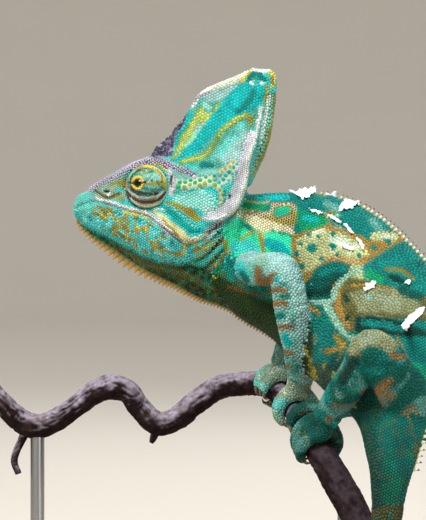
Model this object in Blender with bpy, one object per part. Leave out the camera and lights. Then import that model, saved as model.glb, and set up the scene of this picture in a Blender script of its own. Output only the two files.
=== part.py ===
"""A male veiled chameleon gripping a cut length of branch, which a plain stand holds up."""

import math

import bmesh
import bpy
import numpy as np
from mathutils import Matrix, Vector

# Sizes are in millimetres, measured from the middle of the eye line: X toward the tail, Z up,
# Y away from the animal's left side. EYE is that point above the base's underside.
MM = 0.001
EYE = (-35.0, 45.0, 229.0)
GAP = 0.3
TRUNK_CLEARANCE = 1.15
VOXEL = 0.8
CORE_TRIANGLES = 1975
LIMB_TRIANGLES = 340
FLAT_ANGLE = 6.0

# Outline of the head in side view: (x, z) along the top and along the throat.
HEAD_TOP = [
    (-27.6, -6.6), (-26.8, -4.6), (-25.4, -2.9), (-22.9, -2.1), (-20.1, 0.1), (-15.9, 2.6), (-10.4, 5.7),
    (-5.9, 8.2), (-1.5, 9.8), (1.2, 11.2), (2.9, 14.6), (5.2, 16.6), (7.9, 18.7), (9.9, 21.5), (13.5, 25.9),
    (16.3, 30.4), (18.5, 33.7), (22, 36.5), (26.3, 38.4), (30.7, 40.1), (35.2, 42.1), (38.2, 44), (41.8, 43.5),
    (45.2, 43.5), (46.8, 42.4), (47.8, 40),
]
HEAD_BOTTOM = [
    (-27.6, -11), (-26.5, -12.8), (-24, -16), (-20, -19.5), (-15, -22.5), (-10, -26), (-5, -29), (0, -32),
    (5, -34.5), (10, -36.7), (15, -39.6), (20, -42), (25, -43.5), (30, -45.6), (31.5, -36), (33.5, -18),
    (35, -7), (38.3, 0.2), (41, 6), (43.2, 10.4), (44.9, 16), (46, 21), (46.8, 26.5), (47.4, 32), (47.8, 37.5),
]
# Half widths of the head's cross sections: x: ((z, half width), ...) from the top down.
HEAD_SECTIONS = {
    -27: ((-5, 2.4), (-9, 2.6), (-12, 1.6)),
    -24: ((-3, 4.2), (-6, 5.6), (-10, 5.4), (-14, 2.4)),
    -20: ((-1, 6.0), (-5, 7.3), (-10, 7.4), (-15, 4.8), (-18.5, 1.7)),
    -15: ((1.5, 7.6), (-3, 8.6), (-7, 9.2), (-12, 9.2), (-17, 6.6), (-21, 2)),
    -10: ((4.5, 9.4), (0, 9.6), (-8, 10.8), (-14, 10.6), (-20, 6.8), (-25, 1.7)),
    -3: ((8, 11.2), (0, 11.4), (-10, 12.2), (-17, 12), (-24, 7.8), (-30, 1.9)),
    4: ((15, 1.6), (12, 5), (8.5, 11.6), (0, 13.2), (-10, 14), (-18, 13.4), (-26, 9.5), (-32, 3)),
    12: ((23, 1.5), (17, 4), (11, 8), (5, 13.8), (-5, 15.6), (-15, 15.4), (-22, 14), (-30, 9), (-36, 2.8)),
    20: ((34, 1.4), (27, 3.4), (20, 6.4), (12, 10.3), (3, 15.6), (-6, 16.6), (-16, 16), (-25, 13), (-41, 2.8)),
    28: ((38, 1.3), (32, 3.6), (24, 7), (15, 10.8), (4, 15), (-5, 15.8), (-12, 15), (-25, 12.5), (-44, 3)),
    36: ((41, 1.5), (35, 4), (28, 7.2), (18, 10.6), (8, 13.2), (0, 13.8), (-5, 12.5)),
    41.5: ((43, 1.8), (36, 4), (28, 6.8), (20, 7.2), (12, 5.5), (7, 1.6)),
    46.5: ((42, 1.8), (35, 2.4), (28, 1.8)),
}
EDGE_ROUND = 2.4
EYE_RADII = (8.1, 7.7, 8.3)
EYE_CENTRE = (0.15, 9.6, -0.75)

# Stations of the trunk: back x, belly x, y, back z, belly z, half width.
TRUNK = [
    (26, 24, 0, -4, -38, 10), (39, 33, 0, -3, -48, 12.5), (53.8, 46.9, -4, -2.6, -56.8, 14),
    (67.3, 55.5, -12, -3.9, -65.4, 14.6), (81.8, 61.6, -27, -11.1, -70.4, 14.6), (94.6, 66.4, -44, -24.2, -76, 14),
    (104.9, 70.9, -61, -40.8, -80.3, 13), (104.9, 73.4, -76, -63.9, -84.6, 11), (94.7, 74.4, -87, -81, -91.6, 9),
    (89.7, 74.8, -93, -93.6, -98, 7.2), (85.9, 75.4, -96, -105.6, -107.3, 5.6),
]
TAIL_TOP = [(82, -93.5, -99, 4.6), (80.5, -96.2, -107, 5.3), (79, -97, -118, 4.8), (78, -97, -132, 4.5), (77.4, -97, -148, 4.1)]
COIL_CENTRE = (51.0, -97.0, -172.0)
COIL_RADIUS, COIL_PITCH, COIL_TURNS = 26.0, 10.6, 1.65
TAIL_TIP_RADIUS = 1.3

# Branch centre line: x, y, z, radius.
BRANCH = [
    (-60, 8, -75.6, 4), (-53.5, 8, -82.6, 4), (-47.6, 8, -87.8, 4.2), (-41.6, 8, -89.7, 4.5), (-34, 8, -87, 4.2),
    (-27, 8, -82.3, 4), (-20, 8.2, -77.2, 4.2), (-13.5, 8.8, -75.1, 4.6), (-7.6, 9.3, -77.2, 4.3),
    (-3.4, 9.8, -83, 4.1), (2.6, 10, -88.6, 4.6), (10, 10.3, -87.2, 4.4), (17.8, 11.3, -81, 4.4),
    (25.6, 12.9, -75.6, 4.5), (34, 11.6, -73.9, 4.5), (41.5, 7, -73.7, 4.4), (47, 0.5, -75.5, 4.3),
    (50.7, -7.5, -78.4, 4.3), (53.4, -16.5, -81.2, 4.3), (55.6, -27, -83.9, 4.3), (57.2, -38.5, -86.1, 4.4),
    (58.2, -50, -87.8, 4.5), (59.2, -62, -90, 4.6), (62.5, -70, -96.5, 4.7), (68, -76.5, -105.5, 4.8),
    (72.5, -82, -115, 4.8), (75.5, -86, -123, 4.7),
]
TWIG = [(-45.6, 8, -90.5, 1.9), (-47.6, 8, -95, 1.5), (-49.6, 8, -99.5, 1.35), (-50.2, 8, -103.2, 1.3), (-48.6, 8, -107.3, 1.2)]
NUB = [(3.2, 10, -90, 2), (1.8, 10, -94, 1.5), (0.9, 10, -96, 0.9)]

# Limbs: joints (x, y, z, radius) from the body to the wrist, the foot's place on the branch (an index in
# BRANCH) and the number of toes on the +side and the -side of the branch.
LIMBS = {
    "fore_left": ([(36, -6, -30, 6.5), (41.5, -22, -31, 6.1), (48.7, -37, -31.5, 6.2), (51.5, -38, -44.3, 6.2),
                   (53.8, -34, -57, 5.7), (55.4, -24.5, -69.2, 4.9)], 18.2, (2, 3)),
    "fore_right": ([(38, 5, -31, 6.5), (47.5, 19, -35, 6), (57, 30, -40.5, 6), (56.5, 27.5, -49, 6),
                    (53.5, 21, -58, 5.3), (50, 10.5, -65.8, 4.6)], 15.9, (3, 2)),
    "hind_left": ([(90, -80, -78, 9.5), (84, -89, -67, 8.2), (75.5, -97, -56, 6.8), (71.5, -89, -63.5, 6.1),
                   (66.5, -78, -72, 5.6), (62.2, -67.5, -80.5, 5)], 22, (3, 2)),
    "hind_right": ([(91, -77, -80, 9), (95, -62, -77, 7.6), (97, -45, -73.5, 6.6), (87, -38.5, -75.5, 6),
                    (75, -33.5, -77.5, 5.2), (65, -34, -79.5, 4.7)], 20, (2, 3)),
}
TOE_ANGLES = (8, 42, 78, 112, 136)
TOE_RADII = (3.1, 2.5, 2.25, 2.0, 1.6)
TOE_STEP = 3.3
PALM_RADIUS = 4.6
CLAW_RADIUS = 0.72

GULAR_SPINES, GULAR_HEIGHT, GULAR_RADIUS = 42, 2.4, 0.85
GULAR_PARTS, GULAR_SIZES = (0, 0.12, 0.3, 0.5, 0.75, 1), (0.45, 0.75, 1.1, 0.8, 0.55, 0.4)
BACK_SPINES, BACK_HEIGHT, BACK_RADIUS, BARE_NAPE = 50, 1.6, 0.9, 58

# Thin cuts: polylines (x, z) across the head, and slabs across a limb or the tail.
MOUTH_CUT = [(-33, -6.3), (-27, -6.6), (-19, -6.2), (-14, -7), (-8, -8.7), (-2, -9.8), (2, -11.4), (6, -15),
             (10, -18.5), (14, -21), (18.5, -27), (21, -36), (22.5, -52)]
NECK_CUT = [(13.6, -20.9), (21, -18.8), (27, -14.6), (31, -12), (34.6, -8), (37, -3.2), (39.6, -1.3), (48, 1.6)]
CASQUE_CUT = [(-5, 15.5), (1.2, 10.8), (6.5, 8.6), (10, 7.4), (14, 6.2), (20, 5.2), (28, 4.7), (50, 4.7)]

BASE_SIZE = (180.0, 150.0, 14.0)
BASE_CORNER, BASE_EDGE = 16.0, 2.0
ROD_RADIUS = 2.6
ROD_BASE_DEPTH, ROD_BRANCH_DEPTH = 8.0, 2.2
RODS = {"stand_rod_left": 3, "stand_rod_right": 24}


def put(x, y, z):
    """The point in metres, in the part's own frame."""
    return Vector(((x + EYE[0]) * MM, (y + EYE[1]) * MM, (z + EYE[2]) * MM))


def along(rows, t):
    """Smooth reading of a table of stations at t, counted in stations."""
    rows = np.asarray(rows, float)
    t = min(max(t, 0.0), len(rows) - 1.0)
    i = min(int(t), len(rows) - 2)
    f = t - i
    p1, p2 = rows[i], rows[i + 1]
    m1 = (p2 - rows[i - 1]) / 2 if i else p2 - p1
    m2 = (rows[i + 2] - p1) / 2 if i + 2 < len(rows) else p2 - p1
    return (
        (2 * f**3 - 3 * f**2 + 1) * p1 + (f**3 - 2 * f**2 + f) * m1
        + (3 * f**2 - 2 * f**3) * p2 + (f**3 - f**2) * m2
    )


def rolled(bm, around, count, place):
    """Rolls a grid into a closed tube: place(turn, run) gives each point, both from 0 to 1."""
    verts = bmesh.ops.create_grid(bm, x_segments=around, y_segments=count, size=0.5)["verts"]
    for vert in verts:
        turn, run = vert.co.x + 0.5, vert.co.y + 0.5
        vert.co = put(*place(0.0 if turn > 0.9999 else turn, run))
    bmesh.ops.remove_doubles(bm, verts=verts, dist=1e-7)
    rims = [edge for edge in bm.edges if edge.is_boundary]
    bmesh.ops.holes_fill(bm, edges=rims, sides=0)


def tube(bm, rows, around=14, per_station=3, reference=None):
    """A round tube through the rows (x, y, z, radius)."""
    rows = np.asarray(rows, float)
    if reference is None:
        reference = np.eye(3)[int(np.argmin(np.abs(rows[-1, :3] - rows[0, :3])))]
    last = len(rows) - 1

    def place(turn, run):
        t = run * last
        row = along(rows, t)
        ahead = along(rows, t + 0.02)[:3] - along(rows, t - 0.02)[:3]
        ahead /= np.linalg.norm(ahead)
        side = np.cross(ahead, reference)
        side /= np.linalg.norm(side)
        up = np.cross(side, ahead)
        angle = 2 * math.pi * turn
        return row[:3] + row[3] * (math.cos(angle) * up + math.sin(angle) * side)

    rolled(bm, around, per_station * last, place)


def width_field():
    """A smooth reading of HEAD_SECTIONS: the half width at any (x, z) of the head (thin plate)."""
    known = np.array([(x, z, w) for x, row in HEAD_SECTIONS.items() for z, w in row], float)
    spots = known[:, :2]

    def bend(points):
        gap = np.linalg.norm(points[:, None] - spots[None], axis=2)
        return np.where(gap > 0, gap**2 * np.log(np.maximum(gap, 1e-9)), 0.0)

    n = len(spots)
    flat = np.c_[np.ones(n), spots]
    system = np.block([[bend(spots) + np.eye(n) * 2.0, flat], [flat.T, np.zeros((3, 3))]])
    solved = np.linalg.solve(system, np.r_[known[:, 2], 0, 0, 0])

    def read(x, z):
        spot = np.array([[x, z]], float)
        return float((bend(spot) @ solved[:n] + np.c_[[[1.0]], spot] @ solved[n:])[0])

    return read


def head(bm):
    width = width_field()
    top, bottom = np.array(HEAD_TOP, float), np.array(HEAD_BOTTOM, float)

    def place(turn, run):
        x = -27.6 + 75.4 * run
        high, low = np.interp(x, *top.T), np.interp(x, *bottom.T)
        angle = 2 * math.pi * turn
        z = (high + low) / 2 + (high - low) / 2 * math.cos(angle)
        edge = min(1.0, math.sqrt(max(0.0, min(high - z, z - low)) / EDGE_ROUND))
        if 0 < turn < 1 and abs(turn - 0.5) > 1e-6:
            return x, math.copysign(max(0.5, width(x, z)) * edge, math.sin(angle)), z
        return x, 0.0, z

    rolled(bm, 72, 90, place)


def trunk_frame(t):
    """Centre, half height vector and half width vector of the trunk at station t."""
    def middle(s):
        back_x, belly_x, y, back_z, belly_z, _ = along(TRUNK, s)
        return np.array([(back_x + belly_x) / 2, y, (back_z + belly_z) / 2])

    back_x, belly_x, y, back_z, belly_z, wide = along(TRUNK, t)
    up = np.array([(back_x - belly_x) / 2, 0, (back_z - belly_z) / 2])
    side = np.cross(middle(t + 0.05) - middle(t - 0.05), up)
    return middle(t), up, wide * side / np.linalg.norm(side)


def trunk(bm, extra=0.0):
    """The trunk, from inside the head to the root of the tail, thickened by extra."""
    last = len(TRUNK) - 1

    def place(turn, run):
        centre, up, side = trunk_frame(run * last)
        angle = 2 * math.pi * turn
        swell = abs(math.sin(angle)) ** 0.84 * (1 - 0.26 * math.cos(angle))
        up *= 1 + extra / np.linalg.norm(up)
        side *= 1 + extra / np.linalg.norm(side)
        return centre + up * math.cos(angle) + side * math.copysign(swell, math.sin(angle))

    rolled(bm, *((20, 24) if extra else (40, 60)), place)


def tail_rows():
    rows = list(TAIL_TOP)
    steps = round(COIL_TURNS * 16)
    for k in range(steps + 1):
        turns = COIL_TURNS * k / steps
        reach = COIL_RADIUS - COIL_PITCH * turns
        angle = -2 * math.pi * turns
        radius = 3.9 + (TAIL_TIP_RADIUS - 3.9) * (k / steps) ** 0.9
        rows.append((
            COIL_CENTRE[0] + reach * math.cos(angle), COIL_CENTRE[1], COIL_CENTRE[2] + reach * math.sin(angle), radius,
        ))
    return rows


def foot_frame(t, ankle, centre=None):
    """At station t of the branch, for a foot centred at station centre: place, radius, direction, the way up to the ankle and the way across."""
    row = along(BRANCH, t)
    run = along(BRANCH, t + 0.05)[:3] - along(BRANCH, t - 0.05)[:3]
    run /= np.linalg.norm(run)
    up = np.asarray(ankle[:3], float) - along(BRANCH, t if centre is None else centre)[:3]
    up -= run * up.dot(run)
    up /= np.linalg.norm(up)
    return row[:3], row[3], run, up, np.cross(run, up)


def around_branch(frame, way, degrees, reach):
    """A point beside the branch, that many degrees round from the top and reach from its surface."""
    spot, thick, _, up, across = frame
    a = math.radians(degrees)
    return spot + (thick + reach) * (math.cos(a) * up + way * math.sin(a) * across)


def toes(index, ankle, counts):
    """Each toe's rows (x, y, z, radius), its place's frame and its side of the branch."""
    made = []
    for way, count in zip((1, -1), counts):
        for k in range(count):
            lane = (k - (count - 1) / 2) * TOE_STEP + 0.5 * way
            length = 10 * np.linalg.norm(along(BRANCH, index + 0.05)[:3] - along(BRANCH, index - 0.05)[:3])
            frame = foot_frame(index + lane / length, ankle, index)
            rows = [
                (*around_branch(frame, way, angle, GAP + radius * 0.97), radius)
                for angle, radius in zip(TOE_ANGLES, TOE_RADII)
            ]
            made.append((rows, frame, way))
    return made


def limb(bm, joints, index, counts):
    tube(bm, joints)
    spot, thick, _, up, _ = foot_frame(index, joints[-1])
    palm = spot + up * (thick + PALM_RADIUS * 0.8)
    wrist = np.array(joints[-1])
    tube(bm, [tuple(wrist), (*((wrist[:3] + palm) / 2), PALM_RADIUS), (*palm, PALM_RADIUS), (*(spot + up * thick), 3.5)])
    for rows, _, _ in toes(index, joints[-1], counts):
        tube(bm, [(*palm, 3.0), *rows], around=10)


def claw_rows(toe, extra):
    """The claw at the end of a toe: root, middle and tip, thickened by extra."""
    rows, frame, way = toe
    end, before = np.array(rows[-1][:3]), np.array(rows[-2][:3])
    ahead = (end - before) / np.linalg.norm(end - before)
    root = end + ahead * (0.2 - extra)
    bend = around_branch(frame, way, TOE_ANGLES[-1] + 18, 1.7)
    tip = around_branch(frame, way, TOE_ANGLES[-1] + 32, 0.85)
    return [(*root, CLAW_RADIUS + extra), (*bend, CLAW_RADIUS * 0.7 + extra), (*tip, 0.22 + extra)]


def every_claw():
    for name, (joints, index, counts) in LIMBS.items():
        for number, toe in enumerate(toes(index, joints[-1], counts), 1):
            yield f"claw_{name}_{number}", claw_rows(toe, 0.0)


def spine(bm, root, outward, radius, height):
    """A pointed three-sided scale, sunk into the body at its root."""
    sunk = height * 0.55
    turn = outward.to_track_quat("Z", "Y").to_matrix().to_4x4()
    place = Matrix.Translation(put(*root)) @ turn @ Matrix.Translation((0, 0, (height - sunk) / 2 * MM))
    bmesh.ops.create_cone(
        bm, cap_ends=True, cap_tris=True, segments=3, radius1=radius * MM * 1.25, radius2=0,
        depth=(height + sunk) * MM, matrix=place,
    )


def belly_line():
    """The crest line of the throat and belly, from the chin back: points (x, y, z)."""
    line = [(x, 0.0, z) for x, z in HEAD_BOTTOM if -27 < x <= 25]
    for t in np.arange(0.8, 2.3, 0.25):
        centre, up, _ = trunk_frame(t)
        line.append(tuple(centre - up))
    return np.array(line)


def back_line():
    line = [tuple(sum(trunk_frame(t)[:2])) for t in np.arange(1.0, 9.4, 0.2)]
    return np.array(line)


def spread(line, count):
    """Evenly spaced places on a polyline, with its direction at each."""
    lengths = np.r_[0, np.cumsum(np.linalg.norm(np.diff(line, axis=0), axis=1))]
    for k in range(count):
        at = lengths[-1] * (k + 0.5) / count
        here = np.array([np.interp(at, lengths, line[:, c]) for c in range(3)])
        ahead = np.array([np.interp(at + 0.5, lengths, line[:, c]) for c in range(3)])
        behind = np.array([np.interp(at - 0.5, lengths, line[:, c]) for c in range(3)])
        yield k / (count - 1), here, (ahead - behind) / np.linalg.norm(ahead - behind)


def spines(bm):
    for part, here, ahead in spread(belly_line(), GULAR_SPINES):
        outward = Vector((ahead[2] * 1.0 - 0.25, 0, -ahead[0] - 0.05)).normalized()
        size = float(np.interp(part, GULAR_PARTS, GULAR_SIZES))
        spine(bm, here, outward, GULAR_RADIUS * size, GULAR_HEIGHT * size)
    for part, here, ahead in spread(back_line(), BACK_SPINES):
        if here[0] < BARE_NAPE:
            continue
        up = Vector(trunk_frame(1.0 + 8.2 * part)[1]).normalized()
        lean = (up + Vector(ahead) * 0.35).normalized()
        size = min(1.0, 0.45 + (here[0] - BARE_NAPE) / 32)
        spine(bm, here, lean, BACK_RADIUS * size, BACK_HEIGHT * size)


def finish_object(name, bm, colour, roughness=0.6):
    """Makes the object of a bmesh, with its own material."""
    bmesh.ops.recalc_face_normals(bm, faces=bm.faces)
    mesh = bpy.data.meshes.new(name)
    bm.to_mesh(mesh)
    bm.free()
    obj = bpy.data.objects.new(name, mesh)
    bpy.context.scene.collection.objects.link(obj)
    material = bpy.data.materials.new(name)
    material.use_nodes = True
    shader = material.node_tree.nodes["Principled BSDF"]
    shader.inputs["Base Color"].default_value = (*colour, 1)
    shader.inputs["Roughness"].default_value = roughness
    mesh.materials.append(material)
    mesh.shade_smooth()
    mesh.set_sharp_from_angle(angle=math.radians(40))
    return obj


def modified(obj, kind, **settings):
    """The mesh of the object after one modifier, which is applied."""
    modifier = obj.modifiers.new(kind.title(), kind)
    for key, value in settings.items():
        setattr(modifier, key, value)
    graph = bpy.context.evaluated_depsgraph_get()
    mesh = bpy.data.meshes.new_from_object(obj.evaluated_get(graph))
    obj.modifiers.remove(modifier)
    obj.data = mesh
    return obj


def cut(obj, bm, operation="DIFFERENCE"):
    """One exact Boolean with the bodies of a bmesh, applied."""
    tool = finish_object("tool", bm, (0.5, 0.5, 0.5))
    modified(obj, "BOOLEAN", operation=operation, object=tool, solver="EXACT", use_self=True)
    bpy.data.objects.remove(tool)
    return obj


def sheet(bm, line, half=34.0, thick=GAP):
    """A thin curved wall over a polyline (x, z), as wide as 2 * half across the head."""
    line = np.asarray(line, float)
    run = np.gradient(line, axis=0)
    run /= np.linalg.norm(run, axis=1)[:, None]
    normal = np.c_[-run[:, 1], run[:, 0]] * thick / 2
    rims = [bm.verts.new(put(x, -half, z)) for x, z in [*(line + normal), *(line - normal)[::-1]]]
    face = bm.faces.new(rims)
    pushed = bmesh.ops.extrude_face_region(bm, geom=[face])["geom"]
    verts = [v for v in pushed if isinstance(v, bmesh.types.BMVert)]
    bmesh.ops.translate(bm, verts=verts, vec=(0, 2 * half * MM, 0))
    bmesh.ops.triangulate(bm, faces=bm.faces)


def slab(bm, centre, direction, half):
    """A thin square plate across a limb."""
    turn = Vector(direction).to_track_quat("Z", "Y").to_matrix().to_4x4()
    place = Matrix.Translation(put(*centre)) @ turn @ Matrix.Diagonal((2 * half * MM, 2 * half * MM, GAP * MM, 1))
    bmesh.ops.create_cube(bm, size=1.0, matrix=place)


def cross_cut(bm, rows, t, half):
    """A plate square across the tube through the rows, at station t."""
    slab(bm, along(rows, t)[:3], along(rows, t + 0.1)[:3] - along(rows, t - 0.1)[:3], half)


def ball(bm, centre, radii, segments=12):
    place = Matrix.Translation(put(*centre)) @ Matrix.Diagonal((*[r * MM for r in radii], 1))
    bmesh.ops.create_uvsphere(bm, u_segments=segments, v_segments=segments // 2, radius=1, matrix=place)


def eye_centre(way):
    return EYE_CENTRE[0], way * EYE_CENTRE[1], EYE_CENTRE[2]


def remeshed(name, bm, triangles):
    """One closed surface round all the overlapping bodies of a bmesh."""
    body = finish_object(name, bm, (0.1, 0.5, 0.42))
    modified(body, "REMESH", mode="VOXEL", voxel_size=VOXEL * MM)
    modified(body, "SMOOTH", factor=0.5, iterations=2)
    modified(body, "TRIANGULATE")
    modified(body, "DECIMATE", ratio=triangles / len(body.data.polygons))
    return body


def core():
    """Head, trunk and tail, cut apart at the mouth, the nape, the casque's foot and along the tail."""
    rows = tail_rows()
    bm = bmesh.new()
    head(bm)
    trunk(bm)
    tube(bm, rows, reference=np.array([0.0, 1.0, 0.0]), per_station=2)
    body = remeshed("core", bm, CORE_TRIANGLES)
    bm = bmesh.new()
    spines(bm)
    cut(body, bm, "UNION")
    bm = bmesh.new()
    for way in (-1, 1):
        ball(bm, eye_centre(way), [r + GAP for r in EYE_RADII])
    cut(body, bm)
    for line in (MOUTH_CUT, NECK_CUT, CASQUE_CUT):
        bm = bmesh.new()
        sheet(bm, line)
        cut(body, bm)
    bm = bmesh.new()
    slab(bm, trunk_frame(8.5)[0], trunk_frame(8.8)[0] - trunk_frame(8.2)[0], 16)
    for t in (3.3, 13, 23):
        cross_cut(bm, rows, t, along(rows, t)[3] + 1.6)
    cut(body, bm)
    seeds = {"head": (10, 10, -8), "casque": (28, 5, 28), "lower_jaw": (0, 5, -22), "trunk": (62, -12, -35)}
    for name, t in {"tail_base": 1, "tail_middle": 7, "tail_outer_coil": 18, "tail_inner_coil": 28}.items():
        seeds[name] = along(rows, t)[:3]
    split(body, seeds)


def legs():
    """Each limb, fitted against the trunk and the branch and cut at its elbow or knee and its wrist or ankle."""
    for limb_name, (joints, index, counts) in LIMBS.items():
        bm = bmesh.new()
        limb(bm, joints, index, counts)
        body = remeshed(limb_name, bm, LIMB_TRIANGLES)
        bm = bmesh.new()
        trunk(bm, TRUNK_CLEARANCE)
        cut(body, bm)
        bm = bmesh.new()
        tube(bm, [(x, y, z, r + GAP) for x, y, z, r in BRANCH], around=6, per_station=2)
        cut(body, bm)
        bm = bmesh.new()
        for toe in toes(index, joints[-1], counts):
            tube(bm, claw_rows(toe, GAP), around=5, per_station=1)
        cut(body, bm)
        part, side = limb_name.split("_")
        bm = bmesh.new()
        cross_cut(bm, joints, 2.9 if part == "fore" else 3.7, 9.5)
        cross_cut(bm, joints, 4.85, 8)
        cut(body, bm)
        names = ("upper_arm", "forearm", "hand") if part == "fore" else ("thigh", "shin", "foot")
        places = (along(joints, 1.8)[:3], along(joints, 4.2)[:3], foot_frame(index, joints[-1])[0])
        split(body, {f"{name}_{side}": place for name, place in zip(names, places)})


def split(body, seeds):
    """Gives each seed's name to the nearest of the mesh's loose bodies."""
    whole = bmesh.new()
    whole.from_mesh(body.data)
    bpy.data.objects.remove(body)
    bmesh.ops.remove_doubles(whole, verts=whole.verts, dist=1e-6)
    bmesh.ops.dissolve_degenerate(whole, edges=whole.edges, dist=1e-6)
    bmesh.ops.triangulate(whole, faces=whole.faces)
    whole.verts.index_update()
    paired = {}
    for face in whole.faces:
        paired.setdefault(frozenset(v.index for v in face.verts), []).append(face)
    folds = [face for faces in paired.values() if len(faces) > 1 for face in faces]
    bmesh.ops.delete(whole, geom=folds, context="FACES")
    whole.faces.index_update()
    loose, islands = set(whole.faces), []
    while loose:
        queue, island = [loose.pop()], []
        while queue:
            face = queue.pop()
            island.append(face)
            for edge in face.edges:
                for other in edge.link_faces:
                    if other in loose:
                        loose.discard(other)
                        queue.append(other)
        islands.append(sorted(island, key=lambda f: f.index))
    islands.sort(key=len, reverse=True)
    left = islands[: len(seeds)]
    for name, place in seeds.items():
        seed = put(*place)
        island = min(left, key=lambda faces: min((v.co - seed).length for f in faces for v in f.verts))
        left.remove(island)
        verts = sorted({v for f in island for v in f.verts}, key=lambda v: v.index)
        piece = bmesh.new()
        copies = {v: piece.verts.new(v.co) for v in verts}
        for face in island:
            piece.faces.new([copies[v] for v in face.verts])
        bmesh.ops.dissolve_limit(piece, angle_limit=math.radians(FLAT_ANGLE), verts=piece.verts, edges=piece.edges)
        bmesh.ops.triangulate(piece, faces=piece.faces)
        finish_object(name, piece, FLESH_COLOURS.get(name.split("_")[0], (0.08, 0.45, 0.38)))
    whole.free()
    print("bodies", [len(island) for island in islands])


FLESH_COLOURS = {
    "head": (0.2, 0.6, 0.52), "casque": (0.05, 0.5, 0.48), "lower": (0.15, 0.42, 0.34), "trunk": (0.05, 0.42, 0.36),
    "tail": (0.08, 0.35, 0.28), "hand": (0.35, 0.45, 0.3), "foot": (0.12, 0.3, 0.26),
}


def perch():
    """The branch, with its twig and its nub, bored for the two rods."""
    bm = bmesh.new()
    tube(bm, BRANCH, around=6, per_station=2)
    branch = finish_object("perch_branch", bm, (0.16, 0.11, 0.12), 0.8)
    for rows in (TWIG, NUB):
        bm = bmesh.new()
        tube(bm, rows, around=7, per_station=2)
        cut(branch, bm, "UNION")
    bm = bmesh.new()
    for index in RODS.values():
        rod(bm, index, 0.2, 10)
    cut(branch, bm)


def rod(bm, index, extra, sides=16):
    """A rod from the base up into the underside of the branch, thickened by extra."""
    x, y, z, radius = BRANCH[index]
    foot = BASE_SIZE[2] - EYE[2] - ROD_BASE_DEPTH - extra
    top = z - radius + ROD_BRANCH_DEPTH + extra
    place = Matrix.Translation(put(x, y, (foot + top) / 2))
    bmesh.ops.create_cone(
        bm, cap_ends=True, segments=sides, radius1=(ROD_RADIUS + extra) * MM, radius2=(ROD_RADIUS + extra) * MM,
        depth=(top - foot) * MM, matrix=place,
    )


def stand():
    """A flat base with rounded corners and a softened top edge, and two plain rods."""
    bm = bmesh.new()
    wide, deep, high = BASE_SIZE
    bmesh.ops.create_cube(bm, size=1.0, matrix=Matrix.Diagonal((wide * MM, deep * MM, high * MM, 1)))
    upright = [e for e in bm.edges if abs(e.verts[0].co.z - e.verts[1].co.z) > high * MM / 2]
    bmesh.ops.bevel(bm, geom=upright, offset=BASE_CORNER * MM, segments=3, profile=0.5, affect="EDGES", material=-1)
    rim = [e for e in bm.edges if min(v.co.z for v in e.verts) > 0.49 * high * MM]
    bmesh.ops.bevel(bm, geom=rim, offset=BASE_EDGE * MM, segments=1, profile=0.5, affect="EDGES", material=-1)
    bmesh.ops.translate(bm, verts=bm.verts, vec=(0, 0, high * MM / 2))
    base = finish_object("stand_base", bm, (0.2, 0.13, 0.08), 0.45)
    bm = bmesh.new()
    for index in RODS.values():
        rod(bm, index, 0.2, 10)
    cut(base, bm)
    for name, index in RODS.items():
        bm = bmesh.new()
        rod(bm, index, 0.0, 10)
        finish_object(name, bm, (0.55, 0.55, 0.56), 0.3)


def main():
    for obj in list(bpy.data.objects):
        bpy.data.objects.remove(obj)
    core()
    legs()
    for side, way in (("left", -1), ("right", 1)):
        bm = bmesh.new()
        ball(bm, eye_centre(way), EYE_RADII)
        finish_object(f"eye_{side}", bm, (0.35, 0.5, 0.4), 0.4)
    for name, rows in every_claw():
        bm = bmesh.new()
        tube(bm, rows, around=5, per_station=1)
        finish_object(name, bm, (0.35, 0.3, 0.25), 0.4)
    perch()
    stand()


main()
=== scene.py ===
"""Looks of a male veiled chameleon on a cut branch: scaled hide, eyes, crests, claws, bark and stand."""

import math

import bmesh
import bpy
import numpy as np
from mathutils import Matrix, Vector
from mathutils.bvhtree import BVHTree
from mathutils.kdtree import KDTree

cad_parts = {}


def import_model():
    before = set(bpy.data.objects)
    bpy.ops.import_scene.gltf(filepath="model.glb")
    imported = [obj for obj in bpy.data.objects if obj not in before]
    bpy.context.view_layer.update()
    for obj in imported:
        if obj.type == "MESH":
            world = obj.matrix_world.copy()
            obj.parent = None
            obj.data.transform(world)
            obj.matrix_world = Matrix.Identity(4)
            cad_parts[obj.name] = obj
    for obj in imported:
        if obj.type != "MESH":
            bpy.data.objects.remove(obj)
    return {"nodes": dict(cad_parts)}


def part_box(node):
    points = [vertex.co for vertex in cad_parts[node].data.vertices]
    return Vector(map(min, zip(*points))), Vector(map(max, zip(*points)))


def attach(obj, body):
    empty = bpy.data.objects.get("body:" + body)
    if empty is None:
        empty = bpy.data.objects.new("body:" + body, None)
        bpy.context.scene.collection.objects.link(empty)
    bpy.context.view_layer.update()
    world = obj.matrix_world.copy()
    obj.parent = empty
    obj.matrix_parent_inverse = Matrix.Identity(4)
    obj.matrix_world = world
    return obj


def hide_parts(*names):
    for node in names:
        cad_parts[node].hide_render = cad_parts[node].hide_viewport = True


bl_info = {
    "name": "Veiled Chameleon",
    "version": (1, 0, 0),
    "blender": (4, 5, 0),
    "location": "3D View > Sidebar > Chameleon",
    "description": "Builds the hide, eyes, crests, claws, branch and stand of a chameleon round its frame",
    "category": "Object",
}

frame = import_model()

# Sizes are in millimetres from the middle of the eye line: X toward the tail, Z up, Y away from the
# animal's left side. EYE is that point above the base's underside.
MM = 0.001
EYE = np.array([-35.0, 45.0, 229.0])
VIEW_FROM = np.array([24.05, -750.0, -27.4])
VIEW_WIDTH = 192.4
GAP = 0.3

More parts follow.
